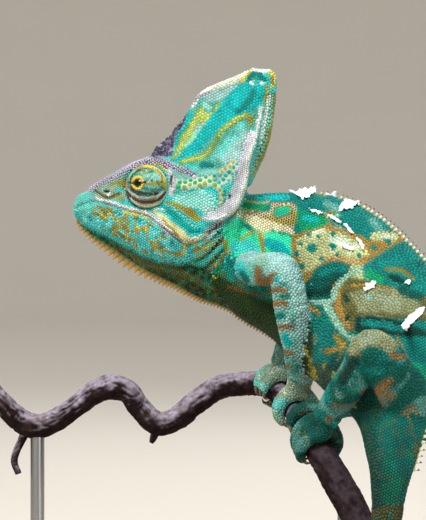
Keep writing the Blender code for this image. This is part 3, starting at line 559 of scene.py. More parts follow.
JAW = [
    (-28, -8), (-20, -6), (-12, -8), (-2, -10.4), (4, -14), (12, -21.5), (20, -20), (24, -19), (22, -24),
    (15, -27.6), (8, -28), (0, -26), (-8, -21.6), (-16, -17), (-24, -13.4),
]
THROAT = [
    (-24, -14.6), (-16, -18), (-6, -22.8), (2, -26.8), (14, -27), (22, -26), (30, -32), (60, -48),
    (40, -62), (10, -40), (-10, -30), (-24, -19),
]
CASQUE_FRONT = [
    (0.6, 10.4), (2.6, 15), (5, 17), (8, 19.2), (10, 22), (13.6, 26.4), (15.6, 29.6), (14.6, 26.2),
    (12.4, 21.6), (10.6, 18.4), (9.6, 14.6), (8.4, 10.8), (4, 10.4),
]
FLAP_OUTLINE = [
    (20, -12), (23, -13.4), (27.4, -12.8), (31.4, -10.6), (34.4, -6.4), (36, -1.6), (37, 3), (40, 3),
    (30, 8), (20, 4),
]
HEAD_MARKS = [
    # ground: throat, jaw, cheek and casque
    ("forest", 1.6, [(-30, -12), (-24, -14.6), (-18, -17.6), (-12, -20.6), (-6, -24.6), (0, -27.2),
        (8, -29.4), (15, -28.8), (21, -30), (28, -34), (40, -41), (60, -48), (62, -70), (20, -60),
        (-30, -40)]),
    ("forest", 2, [(-20, -19.6, 0.9), (-8, -25.6, 1.3), (2, -31, 1.6), (12, -34, 2.2), (24, -39, 2.6),
        (36, -45, 2)]),
    ("olive", 1.4, [(-10, -23.5), (0, -29.2), (12, -32.4), (24, -38)], 1.39),
    ("brown", 1, [(30, -37.4), (37, -39.2), (43, -40.4)], 0.54), ("jaw", 1.5, JAW),
    ("seafoam", 1, [(-28, -9), (-27, -5), (-24, -3), (-20, -2.4), (-18, -6), (-22, -11)]),
    ("snout", 0.9, [(-21, -1.2), (-14, 1.5), (-9, 4), (-7.6, 0), (-8, -5), (-12, -6.4), (-19, -4.8)]),
    ("olive", 0.5, [(-19.5, -1.6), (-15, -4), (-10.6, -2.8)], 0.69),
    ("gold", 0.5, [(-12, -3.6), (-9.4, -5)], 0.42),
    ("gold", 0.5, [(-14, 0.4), (-10, 1.2), (-8.6, 2.2)], 0.48),
    ("aqua", 0.6, [(-11, -1.4), (-9.6, -1.6)], 1.08),
    # casque side
    ("moss", 1.2, [(8, 9), (14, 8), (22, 6), (32, 6), (37, 16), (40, 24), (43, 33), (40, 41), (30, 38),
        (19, 33), (12, 22)]),
    ("fog", 1.6, [(24, 12), (31, 6), (36.5, 10), (38.5, 17), (36, 21), (30, 17)]),
    ("teal", 0.7, [(20.5, 8), (23, 7.4)], 1.7), ("seafoam", 1.2, [(27, 12), (31, 18), (34.5, 22.6)], 1.62),
    ("seafoam", 0.8, [(24, 10.5), (29, 15.5), (34, 19.5)], 0.96),
    ("fog", 0.9, [(19, 34), (22, 30.5), (28, 32.5), (33, 36), (34, 39.5), (26, 37.8)]),
    ("turquoise", 0.5, [(10, 11.5), (14, 16), (17.4, 26), (15, 27), (12, 22), (9.8, 16)]),
    ("leaf", 0.45, [(9.4, 10.4, 0.5), (12, 14.4, 1.2), (14.4, 19.4, 1.4), (18.4, 24.6, 1.7),
        (20, 29, 0.8)]),
    ("leaf", 0.45, [(10, 10.8, 0.5), (14, 12.9, 1.1), (18, 16.8, 1.1), (21.6, 21.8, 1.4), (24.4, 25.8, 1.7),
        (26, 30, 0.7)]),
    ("lime", 0.45, [(9.8, 10.8, 0.3), (12, 14.4, 0.7), (14.6, 19.4, 0.9), (18.4, 24.8, 1.1),
        (20, 28.6, 0.5)]),
    ("lime", 0.45, [(12, 11.8, 0.3), (14.4, 13.2, 0.7), (18, 17, 0.7), (21.6, 22, 0.9), (24.6, 26, 1.2),
        (26, 29.6, 0.4)]),
    ("lime", 0.45, [(17, 23.2), (20.4, 25.4), (23, 26)], 1.38),
    ("seafoam/lime", 0.4, [(14.4, 15), (16.8, 18.6), (18.8, 21.6)], 1.42),
    ("fog", 0.4, [(17.4, 20.4), (19.6, 22.8)], 0.79), ("pale", 0.6, [(20.8, 30), (22.6, 28.8)], 1.13),
    ("turquoise", 0.4, [(10.2, 9.3, 0.5), (13, 11.4, 1.2), (17.2, 14.4, 2.2), (21, 18.8, 2.3),
        (24.6, 23.4, 2.4), (28.4, 27, 3.2), (32.6, 30.4, 4.6), (37, 33.2, 5.2), (41, 35.6, 3.2)]),
    ("teal", 1.2, [(33, 27.5), (37, 31), (39, 35)], 1.31),
    ("leaf", 0.4, [(11.8, 8.2), (15, 9.4), (19, 10.6), (22.6, 12.8), (24.6, 15.6)], 1),
    ("lime", 0.35, [(13, 8.8), (17, 9.9), (20.6, 11.4), (23.4, 14)], 0.58),
    ("leaf", 0.4, [(25.4, 16.4), (26.6, 19.6), (29.4, 22.2), (32.8, 24.6), (36.4, 26), (38.8, 24.4)], 1.15),
    ("lime", 0.35, [(26.2, 18.6), (29.4, 22.2), (32.8, 24.7), (36.4, 26), (38, 25)], 0.65),
    ("gold", 0.35, [(35.6, 26.8), (37.6, 25.2), (38.2, 22.6)], 0.62),
    ("white", 0.5, [(16.4, 29.6), (18.6, 33), (22, 36), (26.3, 37.9), (31, 39.7), (35.4, 41.7),
        (38.4, 43.4), (42, 43), (45.6, 42.8)], 0.91),
    ("cream", 0.5, [(21, 34.6, 0.3), (26.4, 36.8, 0.5), (32, 39, 0.7), (36.6, 40.6, 0.9)]),
    ("yellow", 0.5, [(34.4, 38.6), (37, 41), (37.8, 42.8)], 0.62),
    ("teal", 0.5, [(37.6, 39.6), (40, 41.4), (43, 39.6)], 1.38), ("white", 0.35, [(38.4, 38.2, 0.8)]),
    ("white", 0.35, [(42.2, 38.4, 0.8)]), ("white", 0.35, [(40.4, 37.4, 0.45)]),
    ("yellow", 0.5, [(45, 42), (46.4, 41), (46.6, 38.4), (45.8, 36.6)], 0.84),
    ("ochre", 0.4, [(45.9, 39.6), (46.2, 37.6)], 0.57),
    # rear edge of the casque
    ("seafoam/olive", 0.8, [(38.6, 3), (40.8, 10), (43, 18), (44.6, 27), (45.4, 34)], 2.05),
    ("white/seafoam", 0.6, [(41.6, 16), (42.8, 22), (43.8, 27.6), (44.8, 33)], 0.9),
    ("gold", 0.4, [(38.6, 4), (41, 8.4), (43.4, 13.6), (45, 19.6), (46.4, 27), (47.2, 34)], 0.53),
    ("gold", 0.4, [(43.2, 30), (43.8, 34.6), (43.2, 37)], 0.62),
    # temple and cheek
    ("moss/fog", 0.6, [(9.6, 3.4), (14, 3.4), (20, 3.6), (25, 3.4), (29, 4.6)], 2.42),
    ("green/cream", 0.6, [(10.6, 1.6), (15, 1.4), (20, 2.2), (24, 3.2)], 1.42),
    ("moss/fog", 0.6, [(15, 5.6), (21, 5.6), (26.6, 6)], 0.88),
    ("turquoise/cream", 0.6, [(27.6, 1.6), (30.4, 4), (32.2, 8)], 2.15),
    ("gold/cream", 0.4, [(26.6, 5.2), (29.6, 6.6), (31.6, 9.4)], 0.85),
    ("pale", 1, [(12, -5.4), (17, -4.8), (21.4, -5.6), (23, -8.6)], 3.6),
    ("seafoam", 0.8, [(12, -3), (18, -2)], 0.74), ("mist", 0.8, [(21, -8.6), (24.4, -9.6)], 1.08),
    ("leaf/cream", 0.35, [(8.6, -1.6), (11, -0.6), (14, -0.4), (17, 0.1), (20.6, 0.5), (23.6, 0.6),
        (25.8, -0.6), (27, -3), (27.4, -5.2), (26.4, -7.4)], 0.91),
    ("green", 0.3, [(11, -0.6, 0.75)]), ("ochre", 0.3, [(13.6, -0.8, 0.5)]),
    ("gold", 0.4, [(7, -6, 0.45), (11.4, -7.8, 0.9), (14.6, -9.2, 1.4), (17.4, -11.2, 1.2),
        (18.6, -12.8, 0.6)]),
    ("ochre", 0.3, [(13.6, -9.2), (16.6, -10.8)], 0.57), ("gold", 0.4, [(18.4, -11.8), (21, -12.8)], 0.51),
    ("turquoise", 0.6, [(4.6, -7), (8.6, -9.2), (12.6, -12.6), (16.6, -16.2), (19.4, -16.8)], 1.68),
    ("seafoam", 0.5, [(6.6, -6.6), (11, -9.8), (15.4, -13.6), (18, -15.6)], 0.55),
    ("mist", 0.4, [(3, -8.4), (6.6, -8.4)], 0.62),
    ("aqua", 0.6, [(-16, -5.4, 0.3), (-9, -6.4, 1), (-6, -7.2, 1.1), (-3, -8.6, 0.4)]),
    # lips
    ("yellow/gold", 0.5, [(-9, -9.8), (-4, -10.4), (-0.6, -11.8)], 0.69),
    ("yellow/white", 0.45, [(2.2, -9.2, 0.4), (5, -11.4, 0.9), (8.2, -14.4, 1.3), (11.6, -17.4, 1.5),
        (14.6, -19.8, 1.3), (16.6, -20.4, 0.8)]),
    ("gold", 0.3, [(5, -12.6), (8.4, -15.8), (11.4, -18.6)], 0.54),
    ("lilac", 0.35, [(-20.5, -4.2, 0.4), (-17, -5.4, 0.6), (-12, -7, 0.6), (-6, -8.7, 0.65),
        (-1, -10.1, 0.75), (2.6, -12.2, 1), (6, -15.4, 1.05), (10, -18.8, 0.8), (14, -21, 0.5)]),
    ("white", 0.3, [(-19, -4.6), (-12, -6.5), (-4, -8.9), (0, -10), (2.6, -11.6), (5, -13.6), (9, -17.2)],
        0.53),
    ("cream", 0.4, [(13, -20.6), (16.4, -20), (20, -18.6), (22, -18.2)], 0.7),
    ("yellow", 0.4, [(13.4, -21.6), (17, -21)], 0.57),
    # brow and the dark front of the casque
    ("lilac/plum", 0.5, [(-22.6, -1.6), (-20, -0.4), (-15.9, 1.8), (-10.4, 4.6), (-6, 7.2), (-1.5, 9.3),
        (3, 9.6), (6.6, 8.4), (10, 6.8), (14, 5.4), (17, 4.2)], 1.25),
    ("plum/slate2", 0.5, CASQUE_FRONT),
    ("lilac/plum", 0.5, [(13.8, 26.6), (16.4, 30.4), (19, 33.2), (23, 34.6)], 0.45),
    ("lilac/plum", 0.5, [(-6, 6.8), (-3, 8.2), (0, 8.9), (4, 8.7), (7.4, 6.6), (9, 3.6), (9.1, 0),
        (8.6, -3)], 1.08),
    ("yellow", 0.3, [(2, 8), (5, 7.2), (7.2, 5.2)], 0.37),
    ("lilac/white", 0.4, [(8, 6), (8.7, 3.6), (8.9, 0.6), (8.5, -2.6)], 1.13),
    ("plum", 0.3, [(9.4, 4.4), (8.6, 2.4), (8.8, -0.8)], 0.31),
    ("gold", 0.4, [(-10.4, -0.3), (-9.2, 0.2), (-8.4, 0.4)], 0.79),
    # flap
    ("flap", 0.5, [(38.6, 20, 0.9), (37, 14, 1.9), (35.2, 7, 2), (34, 1, 2.2), (32, -4.6, 2.4),
        (28.6, -8.8, 2), (24, -11.2, 1.3), (20.6, -12, 0.7)]),
    ("white", 0.35, [(41.9, 29), (39.9, 19), (38, 13), (36.8, 8), (36.3, 3), (35.2, -1.4), (33.6, -5.8),
        (30.6, -9.8), (27, -11.8), (22.6, -12.7)], 0.91),
    ("night", 0.15, [(30.4, -4.2, 0.5)]),
    # nostril: a white rim below it, and a night stroke in it that is painted shade in its opening
    ("white", 0.25, [(-16.2, -2.5), (-14.6, -2.9)], 0.45),
    ("night", 0.2, [(-16, -2.1), (-14.6, -1.7)], 0.42),
]
TEAL_SPOTS = [
    (60.6, -23, 1.8), (68.4, -22.4, 1.3), (63, -18.6, 0.8), (68.4, -18, 1.1), (59.4, -18.4, 0.9),
    (56.2, -21.4, 0.9), (55, -25.2, 1.1), (64.6, -27, 1), (70.2, -25.6, 0.7), (57, -30, 1.2),
    (78, -25.8, 0.9), (83.6, -22.8, 1.1), (88.6, -20.6, 1.2), (81.6, -27, 0.6),
]
BODY_MARKS = [
    # neck folds behind the jaw; the deep and lagoon strokes follow the fold grooves and are painted shade in
    # the creases
    ("seafoam/deep", 1.2, [(17, -21), (21, -16), (27, -12), (31, -14), (28, -20), (24, -26), (24, -34),
        (18, -33), (14, -28)]),
    ("lilac/olive", 0.7, [(20, -19), (24, -15.6), (27, -13.6)], 1.23),
    ("gold/forest", 0.8, [(27.6, -19.6, 0.9), (25.6, -24, 0.7), (22, -32, 1.2), (24.6, -33.8, 0.9)]),
    ("deep", 0.9, [(15, -22.8), (19, -20.8), (23, -17.2), (27, -14.6)], 0.49),
    ("lagoon", 0.8, [(16.4, -25.2), (21, -22.6), (25, -18.8), (29, -15.2)], 0.52),
    ("mist", 0.4, [(17.4, -23.4), (21.4, -20.8), (25, -17)], 0.46),
    ("gold", 0.4, [(17.6, -26.8), (21.6, -24.2), (25, -20.4)], 0.54),
    ("deep", 0.9, [(18, -28.2), (22.6, -25.2), (26.4, -21.2), (29.6, -17.2)], 0.49),
    ("aqua", 0.4, [(19.4, -29.2), (23.4, -26.2), (27, -22.6)], 0.58),
    ("lagoon", 0.8, [(20, -31.2), (24.6, -27.8), (28.4, -23.6)], 0.54),
    ("gold", 0.4, [(21.6, -31.8), (25.4, -28.6), (28.6, -25.4)], 0.5),
    ("deep", 1, [(29.4, -14), (30.4, -18), (28.8, -24), (26.8, -30)], 0.46),
    # shoulder
    ("jadelight", 0.8, [(28, -15), (32, -12.4), (36, -12.6), (40, -16), (42.6, -20), (41, -25), (32, -26),
        (27, -22)]),
    ("jadelight", 1, [(31, -20), (36, -21), (39.4, -21.6)], 2.31),
    ("teal", 0.8, [(36.4, -14.4), (39, -17.4)], 1.08),
    ("aqua", 1, [(30, -23.4), (36, -22), (40, -24)], 2.15),
    ("gold", 0.5, [(34, -20), (37.4, -17.6), (40.4, -17.2)], 0.54),
    ("gold", 0.5, [(28.4, -20.6), (29.6, -24.8)], 0.74),
    ("gold", 0.5, [(41.4, -18), (42.4, -22), (42.2, -26)], 0.81),
    ("jadelight", 0.8, [(43, -17), (47.4, -16.8), (53, -19.4), (53.6, -27), (50, -32), (44, -30)]),
    ("turquoise", 0.9, [(44.6, -21), (49, -23.4), (52.6, -28.6)], 2.23),
    # nape and net
    ("turquoise", 0.5, [(36, -4), (40, -4.4), (46, -4.6), (52, -4)], 1.16),
    ("ochre/cream", 0.4, [(38, -5.6), (41, -6.4), (44.6, -5.6)], 0.65),
    ("green", 0.6, [(34.4, -6.4), (38.4, -7.6), (43, -7.2)], 1.27),
    ("ochre", 0.6, [(30.4, -11.6, 0.9), (32.2, -9, 1), (33.6, -7.4, 0.4)]),
    ("brown/cream", 0.5, [(45.6, -6.2), (50, -5.6), (55, -6.4), (55, -12), (53.4, -16), (47, -14),
        (38, -11.6), (34, -10), (44.6, -9.4)]),
    ("bark/yellow", 0.6, [(50, -7), (53.4, -9.6), (53.6, -13), (48, -13), (43, -11.2)], 0.95),
    ("ochre", 0.4, [(48.4, -9.6), (51, -9)], 2.72), ("jade", 0.4, [(48.4, -9.6), (51, -9)], 2.15),
    ("cream/ochre", 0.5, [(33.6, -10.2), (37.6, -12.2), (42, -13.6), (47, -15), (51, -16), (54.6, -18.4)],
        1.38),
    ("cream/ochre", 0.4, [(36.4, -12.8), (41, -15.6), (45, -16.4)], 0.73),
    # back patches
    ("teal", 0.9, [(55, -5.6), (60, -3.4), (66, -4), (70, -5.6), (70.6, -9), (64, -9.6), (58, -9),
        (55.6, -8.6)]),
    ("teal", 0.7, [(68, -5.6), (76, -10), (83, -15), (90, -20)], 3.37),
    ("green", 0.8, [(54.6, -13.6), (58, -10.6), (64, -10.4), (66.6, -13.4), (64, -16.2), (58, -16.8)]),
    ("turquoise", 0.8, [(58, -12), (62, -12.6)], 1.25),
    ("turquoise", 0.8, [(68, -10.6), (71.6, -13.6)], 1.25),
    ("olive/gold", 0.5, [(66.6, -9.8), (68.4, -10.2)], 0.96),
    ("teal", 0.9, [(66.4, -12.6), (72, -11), (80, -12), (85, -16), (86, -22), (80, -20), (72, -15.6)]),
    ("slate", 1.2, [(66, -6.6), (70, -8.4)], 1.47), ("slate", 1.2, [(83, -13), (87, -17.4)], 1.47),
    # pale flank band with orange border and teal spots
    ("ochre", 0.8, [(53.6, -17.6), (60, -16.6), (65.4, -14.6), (69, -15.6), (75, -17), (82, -20),
        (87, -16.6), (93, -17.4), (96, -19.6), (91, -22), (88, -27), (82, -28.8), (76, -29), (68, -27.6),
        (61.6, -31), (59.4, -35), (56.6, -36.4), (54, -31), (53, -23)]),
    ("straw", 0.9, [(54.8, -19.4), (61, -17.8), (67, -16.4), (73, -17.8), (79, -20.6), (81.6, -25.4),
        (76, -27.6), (68, -26), (62.4, -30), (58, -32.4), (55.4, -26)]),
    ("bone", 1, [(67.6, -20), (72, -20.8), (76.4, -23)], 1.65),
    ("straw", 0.7, [(84, -18.8), (91, -19)], 1.81), ("bone", 0.8, [(86, -18.6), (91, -18.6)], 0.74),
    ("cream", 0.6, [(70.6, -21.6), (74.6, -23.4), (77, -22)], 1.54),
    ("cream", 0.6, [(58, -19), (62, -17.2), (66, -16.6)], 0.62),
    ("salmon", 0.6, [(66, -26.4), (72, -26.8), (79, -28.6)], 0.96),
    *[("teal", 0.4, [spot]) for spot in TEAL_SPOTS], ("gold/ochre", 0.6, [(55.6, -31), (58, -34.6)], 1.13),
    # lower flank
    ("lagoon", 1, [(58, -36), (62, -32.6), (67, -29.6), (75, -29), (73, -33), (68, -38), (67, -42),
        (59.6, -41.6)]),
    ("deep", 1.2, [(61, -39.6), (66, -39), (69, -36)], 1.38),
    ("teal", 0.9, [(64, -32.6), (68.6, -31), (72.6, -30.4)], 1.35), ("teal", 0.8, [(58.6, -38.4, 1)]),
    ("turquoise", 0.8, [(60.4, -36.6, 0.6)]),
    ("teal", 1.2, [(79, -29.8), (88, -23.6), (96, -21), (106, -30), (106, -42), (92, -38), (84, -36.6),
        (80, -34)]),
    ("green", 1, [(82, -32.6), (86, -34.6)], 2.04),
    ("olive/gold", 0.9, [(88, -30.6), (94, -31.4), (98, -34)], 0.77),
    ("deep", 0.8, [(90, -33.6), (94, -35.4)], 1.25),
    ("olive", 1, [(67.6, -36.4), (73, -33.6), (80, -34.6), (86, -37), (98, -39), (106, -42), (104, -50),
        (96, -49), (88, -48.6), (80, -47), (77, -50), (76, -54), (71.6, -53), (68.4, -46)]),
    ("ochre", 0.8, [(71, -36.4), (69.8, -42), (71.6, -48), (74, -52)], 1.31),
    ("ochre", 0.8, [(76, -36.6), (86, -37.8), (98, -40.6)], 0.85),
    ("deep", 0.6, [(72.8, -40), (73.8, -42.4)], 0.91), ("deep", 0.6, [(73.6, -48.8, 1)]),
    ("reed", 1.2, [(75, -39.6), (82, -37.4), (92, -38.8), (100, -42.4), (103, -47), (94, -47.4),
        (86, -46.8), (77.6, -46.8)]),
    ("sage", 1.2, [(80, -40.6), (86, -41.4), (93, -43.6)], 1.23),
    ("lagoon", 1.2, [(94, -38.6), (100, -41)], 1.93), ("seafoam", 0.7, [(82, -41.6, 0.7)]),
    ("deep", 1.2, [(76.6, -49), (82, -47.6), (90, -49), (97, -51), (106, -56), (96, -56), (84, -54.6),
        (77, -55)]),
    ("teal", 0.8, [(80, -50.6), (88, -51.6), (94, -53)], 1.46),
    # mint lines
    ("mint", 0.5, [(78, -31.6), (75, -32), (72, -34.6), (69.4, -38), (68.2, -42), (64, -43.2), (59, -42.4),
        (56, -41)], 1.07),
    ("mint", 0.5, [(66.6, -45, 1.5), (69.4, -50, 1.3), (73, -54.6, 1.2), (77.6, -58, 1), (80, -62, 0.8)]),
    ("ochre", 0.5, [(60.4, -45), (63.4, -47.4)], 0.91),
    ("teal", 1.2, [(61, -48), (66, -48.6), (68.6, -56), (67, -66), (61, -66)]),
    ("ochre", 0.7, [(69.6, -56), (72, -59), (66, -61.4)], 1.19), ("teal", 0.8, [(69.6, -58.6, 0.8)]),
]
FORE_MARKS = [
    ("fog", 1.4, [(26, -27, 2.2), (34, -26, 2.6), (43, -25.6, 2.2), (51, -29, 3.4)]),
    ("mint", 1.2, [(40, -27.4), (43.4, -28)], 1.59), ("aqua", 0.9, [(34, -29.6), (36, -33)], 2.15),
    ("teal", 0.9, [(35, -32.6), (36.6, -34.8)], 1.5),
    ("rust", 1.3, [(40.6, -31), (42, -36), (46.6, -33.6)], 1.77),
    ("olive", 1, [(30, -34.6), (38, -38.6), (44, -39.6)], 1.62),
    ("fog", 1.4, [(53, -31), (56.4, -40), (58.4, -52), (59.4, -64), (59, -72)], 3.4),
    ("rust", 1.2, [(46.4, -38.6), (50.4, -38.8)], 1.25), ("rust", 1.2, [(46.6, -43.6), (51, -43.4)], 1.3),
    ("teal", 0.9, [(46.6, -48.6), (49.6, -48)], 1.53), ("rust", 1.2, [(49, -52.4), (53.4, -52)], 1.13),
    ("turquoise", 0.9, [(50.6, -56), (52, -58.6)], 1.59), ("teal", 0.9, [(49.6, -41), (52, -41)], 1.08),
    ("rust", 1.2, [(51, -61.6), (53.4, -62)], 1.13), ("rust", 1.2, [(51.6, -67, 1.2)]),
    ("teal", 0.8, [(55.6, -67, 0.9)]), ("turquoise", 0.9, [(47.6, -34.6, 1.2)]),
    ("teal", 0.8, [(59, -78.6, 1.6)]),
]
HIND_MARKS = [
    ("reed", 1.6, [(76, -60), (80, -56.6), (86, -56.6), (90, -59)], 3.19),
    ("sage", 1.8, [(79, -57), (84, -56)], 1.7),
    ("lagoon", 1.6, [(78, -68), (84, -66), (92, -65), (96, -71), (89, -75), (82, -77)]),
    ("teal", 1.6, [(81, -69), (86, -68.4)], 1.7),
    ("rust", 2.2, [(84.6, -77.4, 1.7), (87, -74.4, 1.7), (90, -72, 0.8)]),
    ("lagoon", 1.6, [(90, -84), (97, -76), (102, -69)], 3.31), ("teal", 1.6, [(98, -62), (106, -66)], 2.72),
    ("rust", 1.2, [(90, -62.4), (94.6, -63.6)], 1.25), ("deep", 1.2, [(76, -65), (72, -72)], 2.27),
    ("teal", 1, [(70, -64), (68, -70)], 2.04), ("teal", 0.9, [(69.4, -88), (71, -90)], 1.7),
    ("turquoise", 0.7, [(69, -87.6, 0.8)]), ("teal", 0.9, [(55.6, -86), (60, -82)], 1.47),
]
# How many of the first marks are the throat's, the head's ground and the neck's.
THROAT_MARKS, GROUND_MARKS, NECK_MARKS = 4, 5, 11
# Lagoon also lays painted shade in the neck's fold grooves.
EXTRA_TINTS = {
    "lime": "b2c060", "leaf": "7a9c44", "rust": "86683c", "lagoon": "02584e", "jaw": "4fc6c4",
    "snout": "8fb09a", "seafoam": "66c8ba", "mist": "b4cdc6", "straw": "b3ba84", "bone": "bfd0b8",
    "jade": "1fb088", "jadelight": "35dba8", "fog": "94c0bb", "moss": "55aa98", "reed": "878f68",
    "bark": "4a3a16", "slate": "5e9a90", "slate2": "7b7790", "salmon": "b39a66", "mint": "8cb8a2",
    "sage": "8c9a80", "flap": "c6c8d0", "tan": "ab9a6e", "umber": "36261a", "amber": "dccb3a",
    "horn": "b08c40",
}


class Paint:
    """Colours laid over one another at a set of places: the middle of each scale, its rim, and how far
    the rim stands out."""

    def __init__(self, count, ground):
        settings = bpy.context.scene.chameleon_colours
        self.tints = {name: linear(code) for name, code in EXTRA_TINTS.items()}
        self.tints |= {name: np.array(getattr(settings, name)) for name in HideColours.__annotations__}
        self.core = np.tile(self.tints[ground], (count, 1))
        self.rim = self.core.copy()
        self.edge = np.zeros(count)

    def lay(self, *layers):
        """Lays colours on in turn, each given with how strongly it covers every place."""
        for colour, mask in layers:
            core, _, rim = colour.partition("/")
            mask = np.clip(mask, 0, 1)
            self.core += (self.tints[core] - self.core) * mask[:, None]
            self.rim += (self.tints[rim or core] - self.rim) * mask[:, None]
            self.edge += (bool(rim) - self.edge) * mask

    def marks(self, marks, places, where):
        for colour, soft, line, *half in marks:
            spots = np.asarray(line, float)
            if half:
                taper = 0.6 + 0.4 * np.sin(math.pi * (np.arange(len(spots)) + 0.5) / len(spots))
                spots = np.c_[spots, half[0] * taper]
            stroke = spots.shape[1] == 3
            margin = soft + (spots[:, 2].max() if stroke else 0)
            low, high = spots[:, :2].min(0) - margin, spots[:, :2].max(0) + margin
            near = where & (places > low).all(1) & (places < high).all(1)
            mask = np.zeros(len(places))
            mask[near] = 0.5 - (reach if stroke else inside)(places[near], spots) / soft
            self.lay((colour, mask))


def limb_parts(body):
    """Which points lie on a limb's shaft, and which on its foot."""
    limb = body >= LIMB_STEP
    return limb & (body % LIMB_STEP == 0), limb & (body % LIMB_STEP > 0)


def within(places, outline, soft):
    """1 well inside an outline, 0 outside it."""
    return step(-inside(places, outline), -0.2, soft)


def jaw_and_throat(paint, points, at, places, head, trunk):
    """The head's ground, with the veins and flecks of the jaw, throat and casque front."""
    paint.marks(HEAD_MARKS[:GROUND_MARKS], at, head)
    jaw = head * within(places, JAW, 1.0)
    throat = (head | trunk) * within(places, THROAT, 1.2)
    front = head * within(places, CASQUE_FRONT, 0.4)
    vein = np.abs(noise(points, 4.2, 2, seed=21))
    small = [noise(points, 1.5, 1, seed=seed) for seed in (22, 23, 24)]
    paint.lay(
        ("gold", jaw * (1 - step(vein, 0.2, 0.28)) * 0.85),
        ("olive", jaw * (1 - step(vein, 0.02, 0.08)) * 0.5),
        ("pale", jaw * step(small[0], 0.22, 0.4) * step(vein, 0.2, 0.3) * 0.7),
        ("lagoon", jaw * step(small[1], 0.3, 0.5) * 0.5),
        ("yellow", jaw * step(small[2], 0.1, 0.4) * (1 - step(vein, 0.14, 0.26)) * 0.6),
        ("teal", throat * step(small[0], 0.2, 0.4) * 0.5),
        ("green", throat * step(small[2], 0.2, 0.45) * 0.5),
        ("olive", throat * step(small[1], 0.2, 0.45) * 0.6),
    )
    paint.marks(HEAD_MARKS[GROUND_MARKS:], at, head)
    paint.lay(
        ("lilac/mist", front * step(small[2], 0.2, 0.4) * 0.6),
        ("night", front * step(small[1], 0.25, 0.45) * 0.5),
    )


def limb_colours(paint, points, at, blot, fleck, body, run, turn):
    """Bars and blotches of the arms, legs and feet, with painted shade over the hind feet."""
    for name, first in LIMB_BODIES.items():
        own = (body >= first) & (body < first + LIMB_STEP)
        shaft, foot = own & (body == first), own & (body > first)
        fore = name.startswith("fore")
        outer = step(np.cos(2 * np.pi * (turn - 0.1)), -0.4, 0.3)
        paint.lay(
            ("moss" if fore else "lagoon", own),
            ("fog" if fore else "teal", own * step(blot, -0.3, 0.4) * 0.8),
            ("rust", shaft * step(np.sin(run * 38 + blot * 2.2), 0.65, 0.85) * outer * 0.7),
            ("teal", shaft * step(fleck + 0.4 * np.cos(run * 38), 0.5, 0.8) * 0.8),
        )
        if not fore:
            paint.lay(
                ("slate", shaft * step(noise(points, 6, 2, seed=41), 0.1, 0.5) * 0.7),
                ("rust", shaft * step(noise(points, 6, 2, seed=42), 0.35, 0.7) * 0.7),
            )
        if name.endswith("left"):
            paint.marks(FORE_MARKS if fore else HIND_MARKS, at, own)
        if fore:
            paint.lay(
                ("sage", foot * 0.8), ("aqua", foot * step(blot, -0.1, 0.35) * 0.7),
                ("cream/olive", foot * step(fleck, 0.15, 0.5) * 0.7),
            )
        else:
            # the hind feet: the deep teal laid over them is painted shade, and the slate blots and olive
            # flecks are their own colour
            paint.lay(
                ("deep", foot * 0.6), ("slate", foot * step(blot, 0.0, 0.4) * 0.5),
                ("olive", foot * step(fleck, 0.2, 0.5) * 0.4),
            )


def markings(points, body, run, turn, places):
    """The hide's colours at points: middle of a scale, rim of a scale, and how strongly the rim shows."""
    paint = Paint(len(points), "aqua")
    at = places + np.c_[noise(points, 2.6, seed=1), noise(points, 2.6, seed=2)] * 0.35
    blot = noise(points, 5.0, seed=3)
    fleck = noise(points, 2.2, 1, seed=4)
    trunk, head, tail = body == TRUNK_BODY, body == HEAD, body == TAIL
    # trunk: teal with dark, leaning bands toward the belly and the hips
    bands = np.sin((places[:, 0] * 0.9 + places[:, 1] * 0.35 + blot * 1.6) / 4.6 + 1.2)
    low = np.abs(turn - 0.5)
    paint.lay(
        ("teal", trunk), ("green", trunk * step(blot, 0.1, 0.5) * 0.7),
        ("straw", trunk * (run < 0.6) * step(bands, 0.72, 0.86) * 0.8),
        ("ochre", trunk * step(bands, 0.5, 0.62) * (1 - step(bands, 0.7, 0.8)) * 0.7),
        ("deep", trunk * (1 - step(low, 0.13, 0.26)) * step(run, 0.1, 0.3) * 0.85),
        ("mint", trunk * (1 - step(low, 0.012, 0.028)) * step(run, 0.32, 0.4) * 0.8),
    )
    paint.marks(BODY_MARKS[:NECK_MARKS], at, trunk | head)
    jaw_and_throat(paint, points, at, places, head, trunk)
    paint.marks(HEAD_MARKS[:THROAT_MARKS], at, trunk)
    nape = head & (places[:, 0] > 28) & (places[:, 1] < -8) & (inside(places, FLAP_OUTLINE) > 0)
    paint.marks(BODY_MARKS, at, trunk | nape)
    # Night laid beneath the belly and over the rear of the trunk toward the hips is painted shade; the gold
    # flecks on the belly are the hide's own colour.
    under = trunk * step(run, 0.3, 0.42) * (1 - step(low, 0.1, 0.24))
    paint.lay(
        ("olive", (trunk & (run > 0.72)) * step(fleck, 0.0, 0.4) * 0.5),
        ("lagoon", trunk * step(run, 0.62, 0.8) * 0.6), ("night", under * 0.35),
        ("gold", under * (run < 0.68) * step(noise(points, 4, 2, seed=43), 0.3, 0.55) * 0.6),
        ("night", trunk * step(run, 0.74, 1) * 0.4),
        # tail: bands along the coil, with night laid over the whole tail as painted shade
        ("deep", tail), ("olive", tail * step(np.sin(run * 62 + blot), 0.0, 0.5) * 0.75),
        ("sage", tail * step(np.cos(run * 62 + 0.4 + blot), 0.55, 0.85) * 0.55),
        ("teal", tail * step(fleck, 0.2, 0.5) * 0.6), ("night", tail * 0.4),
    )
    limb_colours(paint, points, at, blot, fleck, body, run, turn)
    shade = (1 + 0.2 * noise(points, 2.8, 2, seed=31) + 0.14 * noise(points, 9, 1, seed=32))[:, None]
    return np.clip(paint.core * shade, 0, 1), np.clip(paint.rim * shade, 0, 1), paint.edge


# ---------------------------------------------------------------- relief

